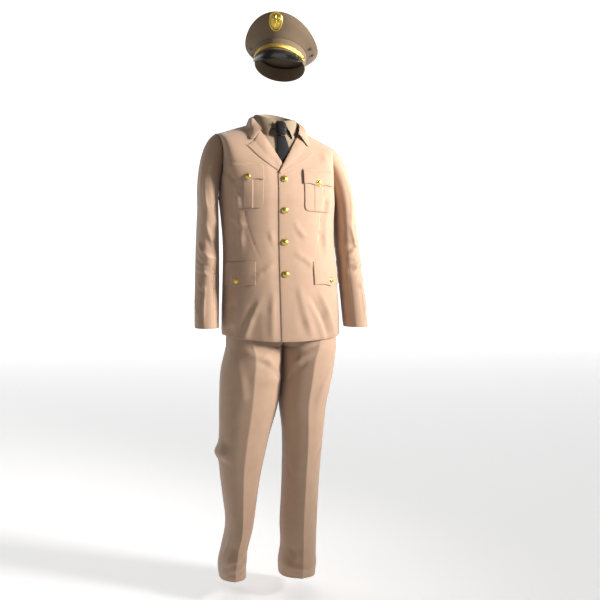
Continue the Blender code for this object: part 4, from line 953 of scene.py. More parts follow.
# %% Sew the sleeves
SLEEVE_DOWNS = np.concatenate([spread(0, 1, 44, 0.006), spread(1, 2, 96, 0.004)[1:]])
SLEEVE_PIECES = (("top", -5, 5, 70), ("under", 5, 11, 44))
for side, word in SIDES:
    arm = lambda a, b: posed(worn_sleeve(-a, 2 - b, side))
    for part, first, last, count in SLEEVE_PIECES:
        turns = spread(first * ARM_STEP + SEAM_TURN, last * ARM_STEP - SEAM_TURN, count, 0.010)
        piece = sew_wall(f"sewn_{part}_sleeve_{word}", arm, -turns[::-1], 2 - SLEEVE_DOWNS[::-1], COAT_CLOTH,
                         KHAKI, [f"{part}_sleeve_{word}"], side)
        declare(piece)

# %% [markdown]
# ## Lapels, collar and pockets
#
# What lies on a front is made from the front's own points, moved out by a few millimetres, so it follows
# every crease under it. `place_on` finds the point of the panel that has a given x and height, with a
# few steps of Newton's method from the nearest point of a coarse table.

# %% Find places on the front
def place_on(surface, x, height, last_up=2.0):
    """across and up of the left half's point that has this x and height."""
    x, height = (np.array(v, float) for v in np.broadcast_arrays(x, height))
    table_a, table_u = (g.ravel() for g in np.meshgrid(np.linspace(0, 1, 31), np.linspace(0, last_up, 61)))
    table = surface(table_a, table_u)
    far = (table[:, 0] - x[..., None]) ** 2 + (table[:, 2] - height[..., None]) ** 2
    start = far.argmin(axis=-1)
    across, up = table_a[start], table_u[start]
    step = 1e-4
    for _ in range(7):
        here = surface(across, up)
        by_a = (surface(across + step, up) - here) / step
        by_u = (surface(across, up + step) - here) / step
        miss_x, miss_z = x - here[..., 0], height - here[..., 2]
        det = by_a[..., 0] * by_u[..., 2] - by_u[..., 0] * by_a[..., 2]
        det = np.where(np.abs(det) < 1e-7, 1e-7, det)
        move_a = (miss_x * by_u[..., 2] - miss_z * by_u[..., 0]) / det
        move_u = (miss_z * by_a[..., 0] - miss_x * by_a[..., 2]) / det
        across = np.clip(across + np.clip(move_a, -0.1, 0.1), 0, 1)
        up = np.clip(up + np.clip(move_u, -0.1, 0.1), 0, last_up)
    return across, up


def on_front(x, height, out, side):
    """Points on a front at x and height on its own side, moved out along its normals."""
    across, up = place_on(coat_front, x, height)
    return front_sheet(across, up, side) + front_normals(across, up, side) * np.asarray(out)[..., None]


def roll_edge(height):
    """x of the front's edge where it rolls over into the lapel."""
    sine = np.clip((height - CHEST_HEIGHT) / (COAT_BACK.neck_z - CHEST_HEIGHT), 0, 1)
    return coat_front(np.zeros_like(height), 1 + np.arcsin(sine) / (math.pi / 2))[..., 0]

tried = place_on(coat_front, 0.1, 1.3)
print("place on the front for x 0.1, height 1.3:", [round(float(v), 4) for v in tried])

# %% [markdown]
# The lapel is the front's own facing, turned back at the roll. It starts as a soft roll at the break
# above the top button and ends in a point under the notch, with a line of stitches along its edge.

# %% Lapels
LAPEL_TIP = (0.1080, 1.4275)
NOTCH = (0.0845, 1.4465)
GORGE_TOP = 1.4870
LAPEL_START = {1: (1.3525, -0.0105, 1.3475), -1: (1.3860, 0.0170, 1.3585)}
LAPEL_LIFT = 0.0025
LAPEL_PUFF = 0.0020

def lapel(side):
    """The turned-back front as a surface: a from the roll at 0 to the outer edge, b from the break up."""
    roll_from, edge_x, edge_z = LAPEL_START[side]

    def surface(a, b):
        roll_z = lerp(roll_from, GORGE_TOP, b)
        roll_x = roll_edge(roll_z) + 0.0003
        belly = 0.004 * np.sin(math.pi * np.clip(b, 0, 1))
        out_x, out_z = lerp(edge_x, LAPEL_TIP[0], b) + belly, lerp(edge_z, LAPEL_TIP[1], b) - belly
        x, z = lerp(roll_x, out_x, a), lerp(roll_z, out_z, a)
        knee = 0.62
        top_x = np.where(a < knee, lerp(roll_edge(GORGE_TOP + 0 * a), NOTCH[0], a / knee),
                         lerp(NOTCH[0], LAPEL_TIP[0], (a - knee) / (1 - knee)))
        top_z = np.where(a < knee, lerp(GORGE_TOP, NOTCH[1], a / knee),
                         lerp(NOTCH[1], LAPEL_TIP[1], (a - knee) / (1 - knee)))
        end_x = lerp(roll_edge(GORGE_TOP + 0 * a), LAPEL_TIP[0], a)
        end_z = lerp(GORGE_TOP, LAPEL_TIP[1], a)
        pull = np.clip(b, 0, 1) ** 4
        x, z = x + pull * (top_x - end_x), z + pull * (top_z - end_z)
        lift = LAPEL_LIFT + LAPEL_PUFF * np.sin(math.pi * np.clip(a * 1.6, 0, 1)) * np.clip(0.3 + b, 0, 1)
        return posed(on_front(x, z, lift, side))

    return surface
LAPEL_ROWS = spread(0, 1, 56, 0.006)
for side, word in SIDES:
    columns = np.sort(np.concatenate([spread(0, 1, 44, 0.012), [0.06, 0.12]]))
    piece = sew_wall(f"sewn_lapel_{word}", lapel(side), columns, LAPEL_ROWS, COAT_CLOTH, KHAKI,
                     [f"lapel_{word}"], side, stitched="right top")
    declare(piece)

# %% Charts of the collar
EdgeKey = namedtuple("EdgeKey", "share x height face")
COLLAR_EDGE = (
    EdgeKey(0.00, 0.0005, 1.4990, 1),
    EdgeKey(0.18, 0.0430, 1.4975, 1),
    EdgeKey(0.34, 0.0740, 1.4990, 1),
    EdgeKey(0.47, 0.0875, 1.5015, 1),
    EdgeKey(0.55, 0.0900, 0.0, 0),
    EdgeKey(0.64, 0.0950, 1.4900, -1),
    EdgeKey(0.82, 0.0960, 1.4700, -1),
    EdgeKey(1.00, 0.0975, 1.4500, -1),
)
FoldKey = namedtuple("FoldKey", "share x y height")
COLLAR_FOLD = (
    FoldKey(0.00, 0.0000, 0.0720, 1.5530),
    FoldKey(0.18, 0.0355, 0.0640, 1.5515),
    FoldKey(0.36, 0.0630, 0.0410, 1.5470),
    FoldKey(0.52, 0.0745, 0.0120, 1.5400),
    FoldKey(0.68, 0.0755, -0.0180, 1.5300),
    FoldKey(0.84, 0.0700, -0.0480, 1.5130),
    FoldKey(1.00, 0.0610, -0.0745, 1.4910),
)
COLLAR_FOOT = (
    FoldKey(0.00, 0.0000, 0.0605, 1.5235),
    FoldKey(0.18, 0.0370, 0.0545, 1.5225),
    FoldKey(0.36, 0.0660, 0.0350, 1.5190),
    FoldKey(0.52, 0.0755, 0.0120, 1.5165),
    FoldKey(0.68, 0.0755, -0.0150, 1.5140),
    FoldKey(0.84, 0.0690, -0.0450, 1.5045),
    FoldKey(1.00, 0.0590, -0.0735, 1.4850),
)
COLLAR_LIFT = 0.0060

def keyed(keys, points, share):
    """A smooth path through points kept at the keys' shares."""
    shares = [k.share for k in keys]
    return np.stack([curve_through(shares, points[:, i], share) for i in range(3)], axis=-1)


def collar_edge_points():
    found = []
    for key in COLLAR_EDGE:
        if key.face == 0:
            t = (key.x - COAT_BACK.neck_x) / (COAT_BACK.tip_x - COAT_BACK.neck_x)
            slope = (COAT_BACK.neck_z - COAT_BACK.tip_z) / (COAT_BACK.tip_x - COAT_BACK.neck_x)
            found.append(np.array(shoulder_line(COAT_BACK, t)) + np.array([slope, 0, 1]) * COLLAR_LIFT)
            continue
        surface = coat_back if key.face > 0 else coat_front
        across, up = place_on(surface, key.x, key.height)
        point = surface(across, up)
        normal = normals_of(surface, across, np.clip(up, 0.002, 1.998), -1 if key.face > 0 else 1)
        found.append(point + normal * COLLAR_LIFT)
    return np.array(found)


def coat_collar():
    """The coat's collar: b 0 the stand's foot, 1 the fold, 2 the leaf's edge."""
    edge = collar_edge_points()
    fold = np.array([[k.x, k.y, k.height] for k in COLLAR_FOLD])
    foot = np.array([[k.x, k.y, k.height] for k in COLLAR_FOOT])
    gorge = on_front(np.array([NOTCH[0] + 0.001]), np.array([NOTCH[1] + 0.0030]), COLLAR_LIFT, 1)[0]

    def surface(a, b):
        q = np.abs(a)
        low, top, out = keyed(COLLAR_FOOT, foot, q), keyed(COLLAR_FOLD, fold, q), keyed(COLLAR_EDGE, edge, q)
        rise = np.clip(b, 0, 1)[..., None]
        fall = np.clip(b - 1, 0, 1)[..., None]
        stand = lerp(low, top, rise)
        leaf = lerp(top, out, fall)
        round_out = out - top
        round_out = round_out * np.array([1, 1, 0])
        leaf = leaf + round_out * (0.42 * np.sin(math.pi * fall) ** 0.8 * (1 - fall))
        leaf = leaf + np.array([0, 0, 0.002]) * np.sin(math.pi * fall)
        end_top, end_out = fold[-1], edge[-1]
        knee = 0.60
        down_gorge, past_notch = fall / knee, (fall - knee) / (1 - knee)
        path = np.where(fall < knee, lerp(end_top, gorge, down_gorge), lerp(gorge, end_out, past_notch))
        pull = (q**8)[..., None]
        leaf = leaf + pull * (path - leaf)
        points = np.where(b[..., None] <= 1, stand, leaf)
        return posed(points * stack(np.where(a < 0, -1.0, 1.0), 1.0, 1.0))

    return surface

print("collar edge keys:", len(COLLAR_EDGE))

# %% [markdown]
# The collar is one strip folded over itself: the stand rises round the neck, the leaf falls back over it
# and ends in a point above the notch.

# %% Coat collar
COLLAR_ENDS = spread(-1, 1, 150, 0.0025)
COLLAR_RISE = np.concatenate([np.linspace(0, 1, 16), 1 + np.linspace(0, 1, 40)[1:] ** 1.15])
piece = sew_wall("sewn_coat_collar", coat_collar(), COLLAR_ENDS, COLLAR_RISE, COAT_CLOTH, KHAKI,
                 ["coat_collar"], stitched="top left right")
declare(piece)

# %% [markdown]
# The chest pockets are patches with a box pleat down the middle and rounded lower corners. Their flaps,
# and those of the hip pockets, have a lower edge in two shallow scallops that meet in a point.

# %% Pockets and flaps
POCKET_X = (0.0660, 0.1585)
POCKET_Z = (1.2360, 1.3560)
POCKET_CORNER = 0.014
POCKET_GAP = 0.0015
CHEST_FLAP_X = (0.0635, 0.1620)
CHEST_FLAP_Z = (1.3230, 1.3720)
HIP_FLAP_ACROSS = (0.290, 0.760)
HIP_FLAP_Z = (0.9990, 1.0730)
FLAP_POINT = 0.0060
FLAP_SCALLOP = 0.0045
CHEST_BUTTON_Z = 1.3310
HIP_BUTTON_Z = 1.0130
POCKET_CLOTH = 0.0015
PLEAT_RISE = 0.0016
def chest_pocket(side):
    """A patch pocket with a box pleat down its middle and round lower corners."""
    width = POCKET_X[1] - POCKET_X[0]

    def surface(a, b):
        x = lerp(*POCKET_X, a)
        past = np.clip((np.abs(a - 0.5) * width - width / 2 + POCKET_CORNER) / POCKET_CORNER, 0, 1)
        foot = POCKET_Z[0] + POCKET_CORNER * (1 - np.sqrt(1 - past**2))
        pleat = smooth((0.16 - np.abs(a - 0.5)) / 0.025)
        out = POCKET_GAP + POCKET_CLOTH + PLEAT_RISE * pleat
        return posed(on_front(x, lerp(foot, POCKET_Z[1], b), out, side))

    return surface


def flap_foot(a, low):
    """The scalloped lower edge of a flap, with its point in the middle."""
    off_centre = np.abs(2 * a - 1)
    return low - FLAP_POINT * (1 - off_centre) + FLAP_SCALLOP * np.sin(math.pi * np.clip(off_centre, 0, 1))


def chest_flap(side):
    def surface(a, b):
        height = lerp(flap_foot(a, CHEST_FLAP_Z[0]), CHEST_FLAP_Z[1], b)
        lift = lerp(0.0070, 0.0032, smooth((b - 0.76) / 0.24))
        return posed(on_front(lerp(*CHEST_FLAP_X, a), height, lift, side))

    return surface


def front_up_at(across, height):
    """up of the front's points below the chest line at these heights."""
    hem = coat_front(across, 0 * across)[..., 2]
    return (height - hem) / (CHEST_HEIGHT - hem)


def hip_flap(side):
    def surface(a, b):
        across = lerp(*HIP_FLAP_ACROSS, a)
        up = front_up_at(across, lerp(flap_foot(a, HIP_FLAP_Z[0]), HIP_FLAP_Z[1], b))
        out = lerp(0.0042, 0.0024, smooth((b - 0.6) / 0.4))[..., None]
        return posed(front_sheet(across, up, side) + front_normals(across, up, side) * out)

    return surface

FLAP_ROWS = spread(0, 1, 26, 0.02)
FLAP_COLUMNS = spread(0, 1, 56, 0.010)
POCKET_ROWS = spread(0, 1, 60, 0.010)
PLEAT_EDGES = 0.5 + np.array([-0.16, -0.135, 0.135, 0.16])
POCKET_COLUMNS = np.sort(np.concatenate([POCKET_ROWS, PLEAT_EDGES]))
for side, word in SIDES:
    patches = (
        ("chest_pocket", chest_pocket(side), POCKET_COLUMNS, POCKET_ROWS, POCKET_CLOTH, "left right bottom"),
        ("chest_flap", chest_flap(side), FLAP_COLUMNS, FLAP_ROWS, COAT_CLOTH, "left right bottom top"),
        ("hip_flap", hip_flap(side), FLAP_COLUMNS, FLAP_ROWS, COAT_CLOTH, "left right bottom"),
    )
    for kind, surface, columns, rows, thick, stitched in patches:
        piece = sew_wall(f"sewn_{kind}_{word}", surface, columns, rows, thick, KHAKI,
                         [f"{kind}_{word}"], side, stitched=stitched)
        declare(piece)

# %% [markdown]
# ## Trousers
#
# Pressed trousers: a crease down the front and back of each leg, seams at the side and inside, and a
# waistband hidden under the coat. The cloth hangs straight from the seat, drags at the fork, bends a
# little behind each knee and breaks just above the hem. Strokes are drawn round the leg.

# %% Charts of the legs
Leg = namedtuple("Leg", "height inner outer front back")
RIGHT_LEG = (
    Leg(0.050, -0.107, -0.193, 0.100, 0.092),
    Leg(0.098, -0.107, -0.195, 0.100, 0.092),
    Leg(0.141, -0.104, -0.186, 0.097, 0.094),
    Leg(0.216, -0.086, -0.1725, 0.096, 0.096),
    Leg(0.314, -0.070, -0.181, 0.094, 0.097),
    Leg(0.389, -0.058, -0.190, 0.092, 0.098),
    Leg(0.461, -0.042, -0.196, 0.098, 0.098),
    Leg(0.513, -0.030, -0.194, 0.100, 0.101),
    Leg(0.625, -0.001, -0.193, 0.106, 0.110),
    Leg(0.716, 0.0075, -0.188, 0.112, 0.118),
    Leg(0.800, 0.0095, -0.171, 0.119, 0.127),
)
LEFT_LEG = (
    Leg(0.050, 0.003, 0.118, 0.100, 0.092),
    Leg(0.098, 0.003, 0.120, 0.100, 0.092),
    Leg(0.141, 0.010, 0.121, 0.097, 0.094),
    Leg(0.216, 0.0085, 0.124, 0.096, 0.096),
    Leg(0.314, 0.012, 0.129, 0.096, 0.098),
    Leg(0.389, 0.015, 0.134, 0.097, 0.099),
    Leg(0.461, 0.017, 0.140, 0.100, 0.101),
    Leg(0.513, 0.0155, 0.145, 0.104, 0.104),
    Leg(0.625, 0.0035, 0.158, 0.111, 0.114),
    Leg(0.716, 0.0105, 0.177, 0.115, 0.120),
    Leg(0.800, 0.0120, 0.190, 0.119, 0.127),
)
CROTCH_HEIGHT = 0.800
RISE_LENGTH = 0.100
SEAT_FOOT = 0.730
OUTSEAM = math.radians(74)
HEM_MIDDLE = 0.058
HEM_SLANT = 0.012
TROUSER_TOP = 1.0335
TROUSER_CLOTH = 0.0014
WAISTBAND_TOP = 1.0745
WAISTBAND_CLOTH = 0.002
CREASE_RISE = 0.0072
CREASE_SPREAD = math.radians(9)
RIGHT_LEG_FOLDS = (
    Fold(0.461, 80, 0.014, 0.020, 34),
    Fold(0.120, 0, 0.010, 0.016, 50),
    Fold(0.165, 20, -0.006, 0.018, 40),
    Fold(0.400, 190, 0.006, 0.016, 40),
    Fold(0.440, 170, -0.005, 0.014, 40),
    Fold(0.700, -35, 0.005, 0.020, 30),
)
LEFT_LEG_FOLDS = (
    Fold(0.105, 0, 0.010, 0.014, 50),
    Fold(0.150, -20, -0.006, 0.018, 40),
    Fold(0.400, 175, 0.006, 0.016, 40),
    Fold(0.440, 190, -0.005, 0.014, 40),
    Fold(0.660, 30, 0.004, 0.030, 30),
)

def leg_row(rows, angle, height, side, folds):
    """A level section of a trouser leg: angle 0 is the front crease, 90 degrees the outer side."""
    inner, outer = column(rows, "inner", height), column(rows, "outer", height)
    crease = CREASE_RISE * smooth((1.0 - height) / 0.12)
    away = np.minimum(np.abs(angle), np.abs(np.abs(angle) - math.pi))
    ridge = crease * np.exp(-away / CREASE_SPREAD) + folds_at(folds, height, angle)
    half = np.abs(outer - inner) / 2
    x, y = oval(angle, half, column(rows, "front", height), column(rows, "back", height))
    size = np.maximum(np.hypot(x, y), 1e-9)
    x, y = x * (1 + ridge / size), y * (1 + ridge / size)
    return (inner + outer) / 2 + side * x, y


def trouser(side, angle, height):
    """A trouser point: the leg below the crotch, and the half of the hips above it.

    angle runs from the inseam at -90 degrees over the front crease to the outseam, or on over the
    back crease at 180 to the inseam at 270.
    """
    rows = LEFT_LEG if side > 0 else RIGHT_LEG
    folds = LEFT_LEG_FOLDS if side > 0 else RIGHT_LEG_FOLDS
    leg_x, leg_y = leg_row(rows, angle, np.minimum(height, CROTCH_HEIGHT), side, folds)
    in_front = angle <= OUTSEAM
    share_front = (angle + math.pi / 2) / (OUTSEAM + math.pi / 2)
    share_back = (1.5 * math.pi - angle) / (1.5 * math.pi - OUTSEAM)
    hip_angle = np.where(in_front, lerp(0, OUTSEAM, share_front), lerp(math.pi, OUTSEAM, share_back))
    hip_height = np.maximum(height, CROTCH_HEIGHT)
    half_x, half_y = girth_point(HIPS, hip_angle, hip_height)
    middle = column(STANCE, "shift", hip_height)
    hip_x = middle + side * (half_x + SEAM_GAP)
    share = np.clip(np.where(in_front, share_front, share_back), 0, 1)
    rise = np.clip((height - CROTCH_HEIGHT) / RISE_LENGTH, 0, 1)
    sweep = smooth((height - SEAT_FOOT) / (CROTCH_HEIGHT + RISE_LENGTH - SEAT_FOOT))
    blend = lerp(np.sqrt(1 - (1 - rise) ** 2), sweep, smooth(share / 0.45))
    return stack(lerp(leg_x, hip_x, blend), lerp(leg_y, half_y, blend), height)


def waistband(angle, height):
    x, y = girth_point(HIPS, angle, height)
    return from_ground(stack(x + column(STANCE, "shift", height), y, height))


def leg_height(level, angle):
    """The hem slants down to the back, and the slant dies out up the leg."""
    slant = HEM_SLANT * np.cos(angle) * np.clip(1 - (level - HEM_MIDDLE) / 0.12, 0, 1)
    return level + slant

print("leg charts:", len(RIGHT_LEG), "sections each")

# %% Creases of the trousers
LEG_ROUND = 0.085
TROUSER_FOLD_DEPTH = 1.35
TROUSER_CREASES = {
    -1: strokes(
        (0.030, 0.790, -0.060, 0.730, 0.010, 0.0110, 0.0026),
        (0.000, 0.760, -0.075, 0.700, 0.010, 0.0100, -0.0022),
        (0.060, 0.770, 0.020, 0.620, 0.008, 0.0120, 0.0018),
        (0.120, 0.500, 0.060, 0.440, 0.008, 0.0130, 0.0020),
        (0.110, 0.440, 0.040, 0.420, 0.006, 0.0110, -0.0014),
        (-0.070, 0.470, -0.020, 0.400, 0.006, 0.0110, 0.0018),
        (-0.090, 0.350, -0.050, 0.250, 0.006, 0.0110, 0.0014),
        (-0.075, 0.175, 0.050, 0.130, 0.010, 0.0090, 0.0030),
        (-0.060, 0.125, 0.070, 0.100, -0.008, 0.0080, -0.0026),
        (-0.080, 0.095, 0.050, 0.082, 0.006, 0.0070, 0.0024),
        (0.070, 0.210, 0.110, 0.120, 0.006, 0.0100, 0.0020),
        (0.200, 0.470, 0.300, 0.440, 0.010, 0.0130, 0.0018),
        (0.200, 0.420, 0.300, 0.400, 0.010, 0.0100, -0.0022),
        (0.210, 0.380, 0.290, 0.360, 0.008, 0.0100, 0.0020),
        (0.200, 0.740, 0.330, 0.700, 0.016, 0.0130, 0.0024),
        (0.210, 0.690, 0.320, 0.640, 0.012, 0.0120, -0.0018),
        (0.220, 0.130, 0.310, 0.110, 0.008, 0.0090, 0.0022),
    ),
    1: strokes(
        (0.020, 0.800, -0.070, 0.735, 0.010, 0.0110, 0.0024),
        (-0.010, 0.760, -0.080, 0.690, 0.010, 0.0100, -0.0020),
        (0.070, 0.760, 0.030, 0.600, 0.008, 0.0120, 0.0016),
        (0.100, 0.480, 0.050, 0.430, 0.008, 0.0100, 0.0018),
        (-0.080, 0.450, -0.030, 0.390, 0.006, 0.0110, 0.0016),
        (0.060, 0.330, 0.080, 0.230, 0.004, 0.0110, 0.0012),
        (-0.080, 0.150, 0.040, 0.125, 0.010, 0.0090, 0.0026),
        (-0.050, 0.115, 0.080, 0.098, -0.008, 0.0080, -0.0022),
        (-0.070, 0.090, 0.060, 0.084, 0.006, 0.0070, 0.0022),
        (0.200, 0.470, 0.300, 0.440, 0.010, 0.0130, 0.0018),
        (0.210, 0.425, 0.300, 0.405, 0.010, 0.0100, -0.0020),
        (0.200, 0.750, 0.330, 0.705, 0.016, 0.0130, 0.0024),
        (0.210, 0.690, 0.320, 0.650, 0.012, 0.0120, -0.0018),
        (0.220, 0.130, 0.310, 0.110, 0.008, 0.0090, 0.0020),
    ),
}
INSEAM = -math.pi / 2


def worn_leg(angle, level, side):
    """A trouser point with its creases, which fade at the hem and at the four seams."""
    height = leg_height(level, angle)
    points = trouser(side, angle, height)
    rise = TROUSER_FOLD_DEPTH * creased(TROUSER_CREASES[side], angle * LEG_ROUND, height, ROUND * LEG_ROUND)
    rise = rise + rippled(angle * LEG_ROUND, height, 5.0 + side, 0.0007)
    seams = (INSEAM, OUTSEAM, INSEAM + ROUND)
    near = np.min([np.abs(angle - seam) for seam in seams], axis=0)
    calm = smooth(near / 0.16) * smooth((level - HEM_MIDDLE) / 0.02) * smooth((0.86 - height) / 0.06)
    outward = stack(side * np.sin(angle), -np.cos(angle), 0.0)
    return from_ground(points + outward * (rise * calm)[..., None])


print("creases on the legs:", {side: len(chart) for side, chart in TROUSER_CREASES.items()})

# %% Sew the trousers
LEG_LEVELS = np.concatenate([spread(HEM_MIDDLE, 0.5, 96, 0.003), spread(0.5, CROTCH_HEIGHT, 50)[1:],
                             CROTCH_HEIGHT + 0.1 * np.linspace(0, 1, 34)[1:] ** 1.8,
                             spread(CROTCH_HEIGHT + 0.1, TROUSER_TOP, 18)[1:]])
LEG_PIECES = (
    ("front", math.radians(-89.9), OUTSEAM - 0.0014, 0.0),
    ("back", OUTSEAM + 0.0014, math.radians(269.9), math.pi),
)
for side, word in SIDES:
    leg = lambda a, b: worn_leg(a, b, side)
    for part, first, last, press in LEG_PIECES:
        angles = spread(first, last, 58 if part == "front" else 66, 0.008)
        near_press = press + np.radians([-8, -4, -1.5, 0, 1.5, 4, 8])
        angles = np.unique(np.concatenate([angles, near_press]))
        piece = sew_wall(f"sewn_trouser_{part}_{word}", leg, angles, LEG_LEVELS, TROUSER_CLOTH, KHAKI,
                         [f"trouser_{part}_{word}"], side, stitched="bottom")
        declare(piece)
band_turns = np.radians(spread(0.3, 359.7, 120, 0.002))
band_levels = spread(TROUSER_TOP + 0.001, WAISTBAND_TOP, 10, 0.03)
piece = sew_wall("sewn_waistband", waistband, band_turns, band_levels, WAISTBAND_CLOTH, KHAKI,
                 ["waistband"], stitched="top bottom")
declare(piece)

# %% [markdown]
# ## Shirt and tie
#
# The shirt is a plain hollow body under the coat with its collar folded over a stand. The tie's blade
# hangs in front of it, and the knot is a soft wedge, wider at the top, with slanting pulls on its face.

# %% Shirt body and collar
CollarLine = namedtuple("CollarLine", "half_width front back end_turn z_back z_side z_front")
SHIRT_COLLAR = (
    CollarLine(0.0662, 0.0610, 0.0460, 172, 1.5245, 1.5195, 1.5000),
    CollarLine(0.0650, 0.0560, 0.0480, 172, 1.5430, 1.5320, 1.5130),
    CollarLine(0.0645, 0.0530, 0.0500, 173, 1.5600, 1.5430, 1.5240),
    CollarLine(0.0668, 0.0550, 0.0530, 173, 1.5630, 1.5460, 1.5265),
    CollarLine(0.0692, 0.0620, 0.0560, 168, 1.5580, 1.5420, 1.5200),
    CollarLine(0.0702, 0.0820, 0.0575, 153, 1.5430, 1.5310, 1.4950),
    CollarLine(0.0706, 0.0965, 0.0580, 144, 1.5350, 1.5270, 1.4700),
)
NECK_MIDDLE_Y = 0.005

def neck_ring(turn, half_width, front, back, middle_y):
    """x and y round the neck; turn 0 is the back, positive to the left, 180 degrees the front."""
    c = np.cos(turn)
    return half_width * np.sin(turn), middle_y + np.where(c > 0, back, front) * c


def shirt_collar(a, line):
    """a runs from the right front end at -1 to the left front end at 1; line counts the table's lines."""
    def at(name):
        return counted(SHIRT_COLLAR, name, line)

    turn = a * np.radians(at("end_turn"))
    x, y = neck_ring(turn, at("half_width"), at("front"), at("back"), NECK_MIDDLE_Y)
    q = np.abs(a)
    z_low = lerp(at("z_back"), at("z_side"), smooth(q / 0.55))
    z = lerp(z_low, at("z_front"), smooth((q - 0.5) / 0.5) * 0.6 + 0.4 * np.clip((q - 0.5) / 0.5, 0, 1) ** 2)
    return posed(stack(x, y, z))
SHIRT_CLOTH = 0.0011


def shirt_body(face):
    """The whole front or back of the shirt as a surface."""
    yoke = SHIRT_FRONT if face < 0 else SHIRT_BACK

    def surface(a, b):
        points = panel_with_neck(SHIRT, yoke, face, np.abs(a), b, math.pi / 2, SHIRT[0].height)
        turned = np.where(a < 0, -1.0, 1.0) * -face
        return posed(points * stack(turned, 1.0, 1.0))

    return surface


SHIRT_ROWS = np.concatenate([spread(0, 1, 40, 0.005), spread(1, 2, 40)[1:]])
SHIRT_EDGE = 1 - SEAM_ANGLE * 2
for face, word in ((-1, "front"), (1, "back")):
    piece = sew_wall(f"sewn_shirt_{word}", shirt_body(face), spread(-SHIRT_EDGE, SHIRT_EDGE, 81), SHIRT_ROWS,
                     SHIRT_CLOTH, SHIRT_TAN, [f"shirt_{word}"], roll=False)
    declare(piece)
collar_lines = spread(0, 6, 37, 0.01)
piece = sew_wall("sewn_shirt_collar", shirt_collar, spread(-1, 1, 120, 0.004), collar_lines, SHIRT_CLOTH,
                 SHIRT_TAN, ["shirt_collar"], stitched="top left right")
declare(piece)

# %% Tie
TieRow = namedtuple("TieRow", "height y half_width half_depth")
TIE_KNOT = (
    TieRow(1.4770, -0.0830, 0.0115, 0.0060),
    TieRow(1.4810, -0.0815, 0.0145, 0.0085),
    TieRow(1.4930, -0.0765, 0.0170, 0.0100),
    TieRow(1.5080, -0.0710, 0.0175, 0.0095),
    TieRow(1.5180, -0.0675, 0.0150, 0.0075),
    TieRow(1.5225, -0.0660, 0.0110, 0.0045),
)
TIE_BLADE = (
    TieRow(1.1300, 0.0045, 0.0050, 0.0),
    TieRow(1.1650, 0.0045, 0.0400, 0.0),
    TieRow(1.3000, 0.0045, 0.0345, 0.0),
    TieRow(1.3800, 0.0045, 0.0290, 0.0),
    TieRow(1.4400, 0.0055, 0.0190, 0.0),
    TieRow(1.4764, 0.0095, 0.0125, 0.0),
)
TIE_LEAN = 0.07
TIE_LEAN_HEIGHT = 0.040
TIE_X = 0.003
BLADE_CLOTH = 0.003

def tie_blade(a, height):
    """The blade's outer face, in front of the shirt by the table's y."""
    side = math.pi / 2
    up_low = (height - SHIRT[0].height) / (CHEST_HEIGHT - SHIRT[0].height)
    zero = 0 * height
    low, high = zero, zero + 2.0
    for _ in range(26):
        up = (low + high) / 2
        above = panel_with_neck(SHIRT, SHIRT_FRONT, -1, zero, up, side, SHIRT[0].height)[..., 2] > height
        low, high = np.where(above, low, up), np.where(above, up, high)
    up = np.where(height < CHEST_HEIGHT, up_low, up)
    shirt_y = panel_with_neck(SHIRT, SHIRT_FRONT, -1, zero, up, side, SHIRT[0].height)[..., 1]
    x = TIE_X + a * column(TIE_BLADE, "half_width", height)
    x = x + TIE_LEAN * np.minimum(TIE_BLADE[-1].height - height, TIE_LEAN_HEIGHT)
    bow = 0.0012 * (1 - a**2)
    return posed(stack(x, shirt_y - column(TIE_BLADE, "y", height) - bow, height))
KNOT_TURNS = np.linspace(0, ROUND, 65)[:-1]


def tie_knot(turn, height):
    """The knot's skin: a wedge with soft slanting pulls across its face."""
    pulls = 0.0006 * np.sin(300 * (height - 1.48) + 3 * np.sin(turn))
    half_width = column(TIE_KNOT, "half_width", height) + pulls
    half_depth = column(TIE_KNOT, "half_depth", height) + pulls
    x = TIE_X + half_width * signed_power(np.sin(turn), 0.85)
    y = column(TIE_KNOT, "y", height) - half_depth * signed_power(np.cos(turn), 0.85)
    return posed(stack(x, y, height))


def closed_skin(name, surface, turns, levels, material, nodes):
    """A solid piece whose skin is one closed grid with its two ends filled."""
    a, b = np.meshgrid(turns, levels)
    points = surface(a, b)
    rows, columns = points.shape[:2]
    faces = quads_of(rows, columns, True).tolist()
    faces += [list(range(columns - 1, -1, -1)), list(range((rows - 1) * columns, rows * columns))]
    mesh = bpy.data.meshes.new(name)
    mesh.from_pydata(points.reshape(-1, 3), [], faces)
    across, along = arc_lengths(points, 1), arc_lengths(points, 0)
    add_uv(mesh, "cut", np.stack([across, along], axis=-1), rows * columns)
    add_uv(mesh, "stitch", np.ones((rows, columns, 2)), rows * columns)
    piece = finish_piece(name, mesh, material, nodes, points, True)
    print(name, len(mesh.polygons), "faces")
    return piece


knot_levels = spread(TIE_KNOT[0].height, TIE_KNOT[-1].height, 40)
knot = closed_skin("tied_knot", tie_knot, KNOT_TURNS, knot_levels, TIE_BLACK, ["tie_knot"])
blade_levels = spread(TIE_BLADE[0].height, TIE_BLADE[-1].height, 60)
piece = sew_wall("tied_blade", tie_blade, spread(-1, 1, 19, 0.01), blade_levels, BLADE_CLOTH, TIE_BLACK,
                 ["tie_blade"])
declare(piece)

# %% [markdown]
# ## Buttons
#
# Gilt buttons are pressed from sheet: a low, plain dome inside a narrow rim, on a flat back. A pattern is
# extruded from a circle ring by ring, and every button is a copy of it with its own size and place.

